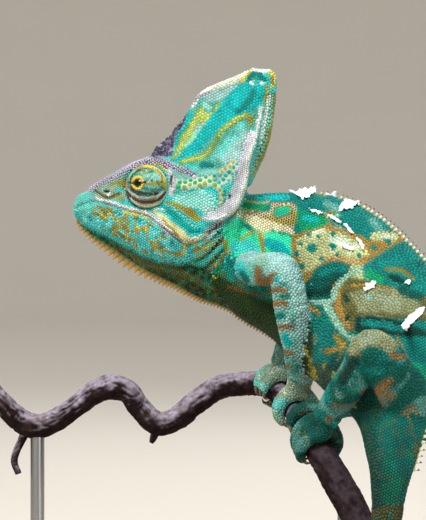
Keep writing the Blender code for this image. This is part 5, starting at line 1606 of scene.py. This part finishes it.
# The amber ring round the iris, wider above and below it.
IRIS_RING = [
    (IRIS[0] + 2 * math.cos(a), IRIS[1] + 2 * math.sin(a), 0.32 + 0.32 * abs(math.sin(a)))
    for a in np.linspace(0, 2 * math.pi, 17)
]
EYE_MARKS = [
    ("tan", 0.6, [(0, -0.6, 10)]), ("lagoon", 1.4, [(-2, 1), (0.6, 1)], 6.34),
    ("seafoam", 1.2, [(-2.6, 1.6), (0.8, 1.4)], 5.1),
    ("green", 0.7, [(-4.6, 4.4), (-2.6, 5.2), (0, 5.3), (1.8, 5.2)], 0.84),
    ("sage", 0.4, [(-3.4, 4.9), (-1.6, 5.2), (0.8, 5.6)], 0.46),
    ("lime", 0.3, [(-2.6, 5), (-0.4, 5.7)], 0.31),
    ("gold", 0.5, [(-7.4, 3.6), (-5.6, 6), (-2.6, 7.3)], 0.65),
    ("seafoam", 0.4, [(-6.6, 3.8), (-5.2, 5.6)], 0.37),
    ("amber", 0.4, [(-1.5, 7.3, 0.4), (1.4, 7.2, 0.75), (3.9, 5.9, 1.2), (5.7, 4, 1.5), (6.3, 2, 1.4),
        (6.3, 0.2, 0.7)]),
    ("ochre", 0.2, [(1.6, 6.6), (4.2, 5.2), (5.4, 3), (5.4, 1.4)], 0.19),
    ("white", 0.2, [(2.3, 7), (4.6, 5.9), (6.1, 4), (6.8, 2.2)], 0.26),
    ("night", 0.2, [(-6.6, 1.7), (-6.2, 3.2), (-5.2, 4.5), (-3.8, 5.5), (-2.2, 6.1), (-0.8, 6.4)], 0.34),
    ("pale", 0.5, [(0.6, 3.4), (2.2, 3.5), (3.8, 3)], 1.37), ("seafoam", 0.3, [(1.2, 2.7), (3, 2.6)], 0.31),
    ("gold", 0.4, [(-1.4, 1), (1.5, 1), (4.4, 1), (6, 0.8)], 0.83), ("bark", 0.3, [(-0.6, 1.8, 0.32)]),
    ("bark", 0.3, [(1.4, 1.9, 0.42)]), ("bark", 0.3, [(3.2, 1.6, 0.3)]), ("brown", 0.3, [(5, 1.4, 0.4)]),
    ("teal", 0.7, [(-1, -1), (2, -1.2), (4.8, -0.9)], 1.08),
    ("seafoam", 0.3, [(0.4, -0.6), (3.6, -0.4)], 0.37),
    ("lagoon", 0.7, [(-6.2, -0.6), (-4.6, -2.2), (-2, -3), (1, -3), (4.4, -2.4)], 0.86),
    ("night", 0.6, [(-6, -1), (-4.6, -2.4), (-2, -2.4), (0, -3), (3, -3)], 0.57),
    ("brown", 0.3, [(*IRIS, 2.75)]), ("bark", 0.3, [(*IRIS, 2.5)]), ("amber", 0.2, IRIS_RING),
    ("night", 0.25, [(-7, 1.2), (-5.3, 1.1)], 0.48), ("night", 0.2, [(-2.6, 1.2), (-0.8, 1.2)], 0.4),
    ("mist", 0.25, [(-7.2, -1.4), (-5.8, -2.9), (-3, -4.1), (0.4, -4.3), (3.4, -3.6), (5.8, -1.8)], 0.45),
    ("umber", 0.3, [(-7.8, -2), (-6, -4.3), (-3, -5.7), (0.6, -5.9), (4.2, -4.8), (6.6, -2.4)], 0.59),
    ("cream", 0.25, [(-6.8, -4.6), (-3.4, -6.9), (0.8, -7.3), (5, -5.7), (7.2, -2.4)], 0.45),
    ("umber", 0.2, [(-8, -3), (-5.8, -6.6), (-1.8, -8.7), (2.8, -8.5), (6.4, -5.8), (7.9, -2)], 0.39),
]
# Rings of the lid: height, distance from the pupil and half width, then those of the lower back part,
# with their distance seen from the side.
LID_RINGS = ((0.28, LID_OPENING + 0.5, 0.45), (-0.16, 3.3, 0.4))
LOW_RINGS = ((0.3, 5.9, 0.35), (-0.34, 6.6, 0.3), (0.22, 7.4, 0.35), (-0.25, 4.9, 0.4))


def turret_place(way):
    """place(turn, run) over one eye turret, from its pupil back into the head."""
    axis = unit(np.array(EYE_GAZE) * (1, -way, 1) / EYE_RADII)
    first = unit(np.cross(axis, (0, 0, 1)))
    second = np.cross(axis, first)

    def place(turn, run):
        far, angle = (run * 2.5)[:, None], (2 * math.pi * turn)[:, None]
        out = np.cos(far) * axis + np.sin(far) * (np.cos(angle) * first + np.sin(angle) * second)
        seen = np.hypot(out[:, 0], out[:, 2]) * 8.2
        low = step(-out[:, 2], -0.15, 0.35) * step(way * out[:, 1], 0.02, 0.2)
        opening = far[:, 0] * 8.0
        lift = -1.4 * (1 - step(opening, LID_OPENING - 0.45, LID_OPENING + 0.1))
        lift += sum(rise * bell(opening, at, wide) for rise, at, wide in LID_RINGS)
        lift += low * sum(rise * bell(seen, at, wide) for rise, at, wide in LOW_RINGS)
        return EYE_CENTRE * (1, way, 1) + out * (EYE_RADII - 0.05 + lift[:, None])

    return place


def eye_paint(spots, way):
    """The colours of one eye turret at spots on it."""
    paint = Paint(len(spots), "seafoam")
    places = side_view(spots * (1, -way, 1))
    wander = 0.16 * np.c_[noise(spots, 1.2), noise(spots, 1.2, seed=5)]
    paint.marks(EYE_MARKS, places + wander, np.ones(len(spots), bool))
    flecked = 1 - step(np.hypot(*(places - (0, 1)).T), 4.5, 6.5)
    flecked = flecked * (np.hypot(*(places - IRIS).T) > 2.8)
    for colour, seed in (("night", 6), ("pale", 7), ("gold", 8)):
        paint.lay((colour, flecked * step(noise(spots, 0.9, 1, seed), 0.4, 0.55) * 0.5))
    return paint


class CHAMELEON_OT_eyes(bpy.types.Operator):
    """Makes the eye turrets with their ringed lids and fine scales, and the glossy eyes in them"""
    bl_idname = "chameleon.eyes"
    bl_label = "Eyes"

    def execute(self, context):
        sizes = context.scene.chameleon_sizes
        lid = hide_material("eye_lid", gloss=0.34, strength=0.25, grain=2200.0)
        wet = Finish("eye_wet", Roughness=0.1, Specular_IOR_Level=0.25, Coat_Weight=0.35, Coat_Roughness=0.03)
        glossy = wet.made(wet.tinted())
        for side, way in (("left", -1), ("right", 1)):
            centre, gaze = EYE_CENTRE * (1, way, 1), np.array(EYE_GAZE) * (1, -way, 1)
            pupil = centre + gaze
            bm = bmesh.new()
            rolled(bm, 72, 90, turret_place(way))
            turret = from_bmesh(f"eye_turret_{side}", bm, lid)
            colour_layer(turret.data, eye_paint(read_places(turret.data), way).rim * 0.45)
            unwrap(context, turret, 0.004)
            surface = Surface(turret)
            gap = np.full(len(surface.points), coarser(sizes.eye_scale / MM))
            gap[np.linalg.norm(surface.points - pupil, axis=1) < LID_OPENING + 0.1] = BARE
            gap[way * (surface.points[:, 1] - centre[1]) < -1.0] = BARE
            spots, gap = surface.scatter(gap, 9)
            where, normals, tri, share = surface.nearest(spots)
            paint = eye_paint(where, way)
            colours = (paint.core, paint.rim, paint.edge, np.full(len(where), 0.26))
            uv = surface.laid_at(tri, share)
            scale_mesh(f"eye_scales_{side}", where, normals, gap, *colours, uv, lid, 3)
            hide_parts(f"eye_{side}")
            bm = bmesh.new()
            ahead = unit(gaze)
            at = world(centre + ahead * (np.linalg.norm(EYE_GAZE) - BALL_RADIUS + 0.05))
            facing = Matrix.Translation(at) @ Vector(ahead).to_track_quat("Z", "Y").to_matrix().to_4x4()
            size = BALL_RADIUS * MM
            bmesh.ops.create_uvsphere(bm, u_segments=48, v_segments=32, radius=size, matrix=facing)
            ball = from_bmesh(f"eye_{side}_ball", bm, glossy)
            out = np.linalg.norm(np.cross(read_places(ball.data) - pupil, ahead), axis=1)[:, None]
            pupil_tint, iris_tint, rim_tint = BALL_TINTS
            shade = blend(pupil_tint, iris_tint, step(out, PUPIL, PUPIL + 0.1))
            shade = blend(shade, rim_tint, step(out, IRIS_RADIUS, IRIS_RADIUS + 0.2))
            colour_layer(ball.data, shade)
        return {"FINISHED"}


# ---------------------------------------------------------------- shed skin

SHED = [
    [(51.5, -1.3), (52.5, -2.4), (53.9, -3), (56.2, -5.2), (57.6, -5.8), (58.9, -5.4), (60.4, -3.9),
        (62.3, -2.8), (62.5, -1.6), (61.8, 0.1), (61, -0.7), (59.9, -0.15), (59.3, -0.7), (58.1, -0.3),
        (57, -1.3), (55.9, -1), (54.9, -2), (53.6, -1.6)],
    [(65, -2.85), (66, -2), (67.1, -2.7), (68.4, -2.4), (69.7, -1.3), (70, -2.2), (69.4, -3.4), (70, -4.4),
        (68.4, -4), (66.7, -3.9)],
    [(72.6, -5.5), (74.2, -4.9), (76.8, -5.2), (78.6, -5.2), (78, -6.4), (78.4, -7.2), (76.8, -7.9),
        (75.5, -9.2), (73.8, -9.4), (72.6, -10), (70.7, -9.6), (71, -8.1), (71.9, -6.6)],
    [(59.2, -8.6), (61.4, -8.8), (63.4, -9.4), (65.4, -10.4), (64.8, -11.3), (62.6, -10.5), (60.4, -9.8)],
    [(66.4, -10.8), (68.6, -11.2), (70.4, -12.2), (71.8, -13.6), (70.6, -14.2), (68.8, -13.2), (67, -12)],
    [(72.6, -14.2), (74.4, -14.8), (75.4, -16.2), (76.4, -17.8), (75.2, -18.2), (73.9, -16.6),
        (72.9, -15.6)],
    [(77.2, -19), (78.9, -20.2), (80.4, -22.6), (80.9, -24.9), (79.5, -24.2), (78.4, -22.2), (77.4, -20.8)],
    [(71.4, -21.4), (73.6, -21.6), (75.4, -22.6), (77, -24.2), (75.6, -24.8), (73.4, -23.9), (71.9, -23)],
    [(79.8, -38.8), (81.4, -36.8), (83.6, -35.4), (85, -35.8), (84.6, -37.4), (82.6, -38.8), (80.8, -40.2)],
    [(93.4, -52.6), (95.2, -50), (98, -47.4), (100.8, -45.2), (102.6, -45.2), (101.6, -47.6), (98.8, -50.6),
        (95.6, -53.6)],
    [(95, -36), (96.6, -34.9), (98.1, -36.2), (97, -37.6), (95.6, -37.2)],
]
FLAKE_CELL, FLAKE_THICKNESS = 0.32, 0.22
FLAKE_TINTS = (linear("d5e0e2"), linear("ffffff"))


class CHAMELEON_OT_shed_skin(bpy.types.Operator):
    """Lays ragged flakes of shed skin over the back"""
    bl_idname = "chameleon.shed_skin"
    bl_label = "Shed skin"

    def execute(self, context):
        surface = Surface(bpy.data.objects["skin"])
        ridge, view = back_line(), Vector(VIEW_FROM)
        whole = bmesh.new()
        for number, outline in enumerate(SHED):
            low, high = np.min(outline, 0), np.max(outline, 0)
            bm = bmesh.new()
            wide, tall = np.ceil((high - low) / FLAKE_CELL).astype(int).tolist()
            verts = bmesh.ops.create_grid(bm, x_segments=wide, y_segments=tall, size=0.5)["verts"]
            places = low + (np.array([vert.co[:2] for vert in verts]) + 0.5) * (high - low)
            rough = noise(np.c_[places, places[:, 0] * 0 + number * 9], 1.1, 2, seed=6)
            gap = inside(places, outline) + 0.35 * rough
            for vert, place, edge, lump in zip(verts, places, gap, rough):
                way = Vector((place[0], 0, place[1])) - view
                hit, normal, _, _ = surface.tree.ray_cast(view, way)
                off = np.abs(ridge[:, 0] - place[0]) + 0.2 * np.abs(ridge[:, 2] - place[1])
                depth = ridge[np.argmin(off)][1]
                if hit is None or hit.y > depth + 3:
                    spot = view + way * ((depth - 0.6 - 0.5 * lump - VIEW_FROM[1]) / way.y)
                else:
                    curl = 0.9 * math.exp(min(0, edge) / 0.45) * max(0, lump + 0.35)
                    spot = hit + normal * (0.8 + 0.4 * lump + curl)
                vert.co = world(spot)
            bmesh.ops.delete(bm, geom=[v for v, edge in zip(verts, gap) if edge > 0], context="VERTS")
            bmesh.ops.delete(bm, geom=[v for v in bm.verts if not v.link_faces], context="VERTS")
            flake = bpy.data.meshes.new("flake")
            bm.to_mesh(flake)
            bm.free()
            whole.from_mesh(flake)
            bpy.data.meshes.remove(flake)
        bmesh.ops.triangulate(whole, faces=whole.faces)
        dry = Finish("shed_skin", Roughness=0.55, Specular_IOR_Level=0.4)
        mottle = dry.noise(500.0, 4.0)
        colour = dry.mix(dry.ramp(mottle, 0, 1, 0.35, 0.65), *FLAKE_TINTS)
        flakes = from_bmesh("shed_skin_flakes", whole, dry.made(colour, None, mottle, 0.4))
        applied(flakes, "SOLIDIFY", thickness=FLAKE_THICKNESS * MM, offset=0)
        return {"FINISHED"}


# ---------------------------------------------------------------- perch and stand

WORN_BARK, SAWN_WOOD = linear("5d4640"), linear("a98a64")


def bark_shape(rows, depth, seed):
    """Grooves and knots of the bark, as a change of radius over a branch through the rows."""
    rows = np.asarray(rows, float)
    reach_to = np.r_[0, np.cumsum(np.linalg.norm(np.diff(rows[:, :3], axis=0), axis=1))]

    def shape(turn, run):
        at = np.interp(run * (len(rows) - 1), np.arange(len(rows)), reach_to)
        angle = 2 * math.pi * turn + at * 0.012
        circle = np.c_[np.cos(angle), np.sin(angle)]
        fine, broad, crack = (
            noise(np.c_[at / stretch, circle * close], 1, octaves, seed + more)
            for stretch, close, octaves, more in ((9, 2.6, 3, 0), (22, 0.9, 2, 3), (3.2, 1.9, 2, 5))
        )
        return depth * (0.25 - 0.55 * np.abs(fine) ** 0.8 + 0.45 * broad - 0.5 * bell(crack, 0, 0.12))

    return shape


class CHAMELEON_OT_perch(bpy.types.Operator):
    """Grows the branch with its bark, twig and nub"""
    bl_idname = "chameleon.perch"
    bl_label = "Branch"

    def execute(self, context):
        look = context.scene.chameleon_perch
        bm = bmesh.new()
        depth = look.bark_ridge / MM
        for rows, around, per, seed in ((BRANCH, 56, 16, 20), (TWIG, 24, 14, 31), (NUB, 24, 14, 37)):
            tube(bm, rows, around, per, seed, None, bark_shape(rows, depth * rows[1][3] / 3.7, seed))
        caps = [face for face in bm.faces if len(face.verts) > 8]
        bmesh.ops.inset_individual(bm, faces=caps, thickness=0.3 * MM)
        bm.verts.index_update()
        sawn = {v.index for face in caps for v in face.verts}
        bmesh.ops.recalc_face_normals(bm, faces=bm.faces)
        bm.normal_update()
        up = np.array([v.normal.z for v in bm.verts])
        sawn = np.array([v.index in sawn for v in bm.verts])
        spots = np.array([v.co for v in bm.verts]) / MM - EYE
        branch = from_bmesh("branch", bm)
        light, dark = np.array(look.bark_light), np.array(look.bark_dark)
        # painted light and shade: lighter on top and darker beneath as the normals face, and painted shade
        # darkening the tail end; worn patches are the bark's own wear, shaded the same way and fewer toward
        # the tail end
        shaded_end = step(spots[:, 0:1], 44, 58)
        grey = step(up + 0.45 * noise(spots, 3, 2, seed=12), -0.1, 0.95)[:, None] * (1 - 0.9 * shaded_end)
        worn = step(noise(spots * (0.5, 1, 1), 2.2, 2, seed=14), 0.15, 0.6)[:, None]
        worn = 0.45 * worn * (1 - 0.6 * shaded_end)
        shade = blend(dark, light, grey) * (1 - worn) + WORN_BARK * worn * (0.35 + 0.65 * grey)
        shade[sawn] = SAWN_WOOD
        colour_layer(branch.data, shade)
        bark = Finish("bark", Specular_IOR_Level=0.1)
        fine = bark.noise(700.0, 6.0, Roughness=0.65)
        colour = bark.shaded(0.85, bark.tinted(), bark.ramp(fine, 0.45, 1.35))
        branch.data.materials.append(bark.made(colour, bark.ramp(fine, 0.92, 0.68), fine, 0.7, 0.6))
        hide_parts("perch_branch")
        return {"FINISHED"}


def rounded(bm, edges, millimetres, segments):
    bmesh.ops.bevel(
        bm, geom=edges, offset=millimetres * MM, segments=segments, profile=0.5, affect="EDGES", material=-1
    )


def height_of(edge):
    return abs(edge.verts[0].co.z - edge.verts[1].co.z)


class CHAMELEON_OT_stand(bpy.types.Operator):
    """Makes the wooden base and its two steel rods"""
    bl_idname = "chameleon.stand"
    bl_label = "Stand"

    def execute(self, context):
        look = context.scene.chameleon_perch
        low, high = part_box("stand_base")
        size = high - low
        bm = bmesh.new()
        placed = Matrix.Translation((low + high) / 2) @ Matrix.Diagonal((*size, 1))
        bmesh.ops.create_cube(bm, size=1.0, matrix=placed)
        rounded(bm, [e for e in bm.edges if height_of(e) > size.z / 2], BASE_CORNER, 14)
        rim = [e for e in bm.edges if min(v.co.z for v in e.verts) > high.z - 0.0001]
        rounded(bm, rim, BASE_EDGE, 5)
        wood = Finish("oiled_wood", Coat_Weight=0.12, Coat_Roughness=0.35)
        grain = wood.place(Scale=(2.2, 26.0, 26.0), Rotation=(0.1, 0.0, 0.05))
        rings = {"Vector": grain, "Scale": 1.1, "Distortion": 5.0, "Detail": 3.0, "Detail Scale": 1.6}
        growth = wood.noise(4.0, 5.0, grain, Distortion=0.6)
        shades = (growth, wood.add("TexWave", rings, "Fac", bands_direction="Y"))
        colour = wood.mix(0.4, *(wood.mix(shade, look.wood_dark, look.wood) for shade in shades))
        pores = wood.noise(40.0, 3.0, grain)
        oiled = wood.made(colour, wood.ramp(pores, 0.55, 0.36), pores, 0.12, 0.5)
        board = from_bmesh("base_board", bm, oiled, angle=30)
        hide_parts("stand_base")
        steel = Finish("brushed_steel", Metallic=1.0)
        brush = steel.noise(1.0, 3.0, steel.place(Scale=(900.0, 900.0, 30.0)))
        colour = steel.mix(brush, np.array(look.steel) * 0.8, look.steel)
        brushed = steel.made(colour, steel.ramp(brush, 0.2, 0.4, 0, 1))
        for name in ("stand_rod_left", "stand_rod_right"):
            low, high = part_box(name)
            bm = bmesh.new()
            bmesh.ops.create_cone(
                bm, cap_ends=True, segments=48, radius1=ROD_RADIUS * MM, radius2=ROD_RADIUS * MM,
                depth=high.z - low.z, matrix=Matrix.Translation((low + high) / 2),
            )
            rounded(bm, [e for e in bm.edges if height_of(e) < 1e-6], 0.3, 2)
            rod = from_bmesh(name.replace("stand_", ""), bm, brushed, angle=35)
            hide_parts(name)
        return {"FINISHED"}


# ---------------------------------------------------------------- stage

FLOOR_RADIUS, COVE = 6.0, 3.0
AIM = (30, -10, -20)


def floor_shape():
    """A wide round floor that curves up into its backdrop."""
    bm = bmesh.new()
    bend = np.linspace(0.1, math.pi / 2, 14)
    cove = [(FLOOR_RADIUS + COVE * math.sin(a), COVE - COVE * math.cos(a)) for a in bend]
    outline = [(0.0, 0.0), (FLOOR_RADIUS, 0.0), *cove, (FLOOR_RADIUS + COVE, 3 * COVE)]
    verts = [bm.verts.new((x, 0, z)) for x, z in outline]
    edges = [bm.edges.new(pair) for pair in zip(verts[:-1], verts[1:])]
    bmesh.ops.spin(
        bm, geom=verts + edges, cent=(0, 0, 0), axis=(0, 0, 1), angle=2 * math.pi, steps=64, use_merge=True
    )
    bmesh.ops.remove_doubles(bm, verts=bm.verts, dist=1e-5)
    bmesh.ops.recalc_face_normals(bm, faces=bm.faces)
    bmesh.ops.reverse_faces(bm, faces=bm.faces)
    mesh = bpy.data.meshes.new("floor")
    bm.to_mesh(mesh)
    bm.free()
    mesh.shade_smooth()
    return mesh


class CHAMELEON_OT_stage(bpy.types.Operator):
    """Sets the pale floor, the lights and the camera"""
    bl_idname = "chameleon.stage"
    bl_label = "Stage"

    def execute(self, context):
        scene = context.scene
        look = scene.chameleon_stage

        def put(name, data):
            obj = bpy.data.objects.new(name, data)
            scene.collection.objects.link(obj)
            return obj

        floor = put("floor", floor_shape())
        paper = Finish("floor_paper", Roughness=0.85, Specular_IOR_Level=0.2)
        colour = np.array(look.floor)
        floor.data.materials.append(paper.made(paper.mix(paper.noise(3.0, 2.0), colour * 0.97, colour)))
        aim = Vector(world(AIM))
        for name, place, size, watts in (
            ("key", (-0.6, -1.1, 1.8), 0.8, look.key), ("fill", (1.6, -1.3, 0.7), 1.2, look.fill),
            ("rim", (0.5, 1.5, 1.3), 0.8, look.rim),
        ):
            lamp = bpy.data.lights.new(name, "AREA")
            lamp.size, lamp.energy = size, watts
            obj = put(name, lamp)
            obj.location = place
            obj.rotation_euler = (aim - Vector(place)).to_track_quat("-Z", "Y").to_euler()
        scene.world = bpy.data.worlds.new("studio")
        scene.world.use_nodes = True
        sky = scene.world.node_tree.nodes["Background"].inputs
        sky["Color"].default_value, sky["Strength"].default_value = (0.98, 0.99, 1, 1), 0.94
        scene.view_settings.view_transform = "Standard"
        camera = bpy.data.cameras.new("camera")
        camera.sensor_width, camera.lens = 36.0, 36.0 * -VIEW_FROM[1] / VIEW_WIDTH
        camera.clip_start, camera.clip_end = 0.01, 20
        scene.camera = put("camera", camera)
        scene.camera.location = world(VIEW_FROM)
        scene.camera.rotation_euler = (math.pi / 2, 0, 0)
        return {"FINISHED"}


STEPS = ("skin", "scales", "crests", "claws", "eyes", "shed_skin", "perch", "stand", "stage")
SETTINGS = {
    "chameleon_sizes": HideSizes, "chameleon_colours": HideColours, "chameleon_perch": PerchSettings,
    "chameleon_stage": StageSettings,
}


class CHAMELEON_PT_build(bpy.types.Panel):
    """Lists the steps that build the chameleon, and their sizes and colours"""
    bl_label = "Chameleon"
    bl_idname = "CHAMELEON_PT_build"
    bl_space_type = "VIEW_3D"
    bl_region_type = "UI"
    bl_category = "Chameleon"

    def draw(self, context):
        for name in STEPS:
            self.layout.operator(f"chameleon.{name}")
        for group, kind in SETTINGS.items():
            box = self.layout.box()
            for name in kind.__annotations__:
                box.prop(getattr(context.scene, group), name)


CLASSES = (
    *SETTINGS.values(), CHAMELEON_OT_skin, CHAMELEON_OT_scales, CHAMELEON_OT_crests, CHAMELEON_OT_claws,
    CHAMELEON_OT_eyes, CHAMELEON_OT_shed_skin, CHAMELEON_OT_perch, CHAMELEON_OT_stand, CHAMELEON_OT_stage,
    CHAMELEON_PT_build,
)


def register():
    for cls in CLASSES:
        bpy.utils.register_class(cls)
    for name, group in SETTINGS.items():
        setattr(bpy.types.Scene, name, bpy.props.PointerProperty(type=group))


def unregister():
    for name in SETTINGS:
        delattr(bpy.types.Scene, name)
    for cls in reversed(CLASSES):
        bpy.utils.unregister_class(cls)


def main():
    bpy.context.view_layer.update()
    register()
    for name in STEPS:
        getattr(bpy.ops.chameleon, name)()


if __name__ == "__main__":
    main()
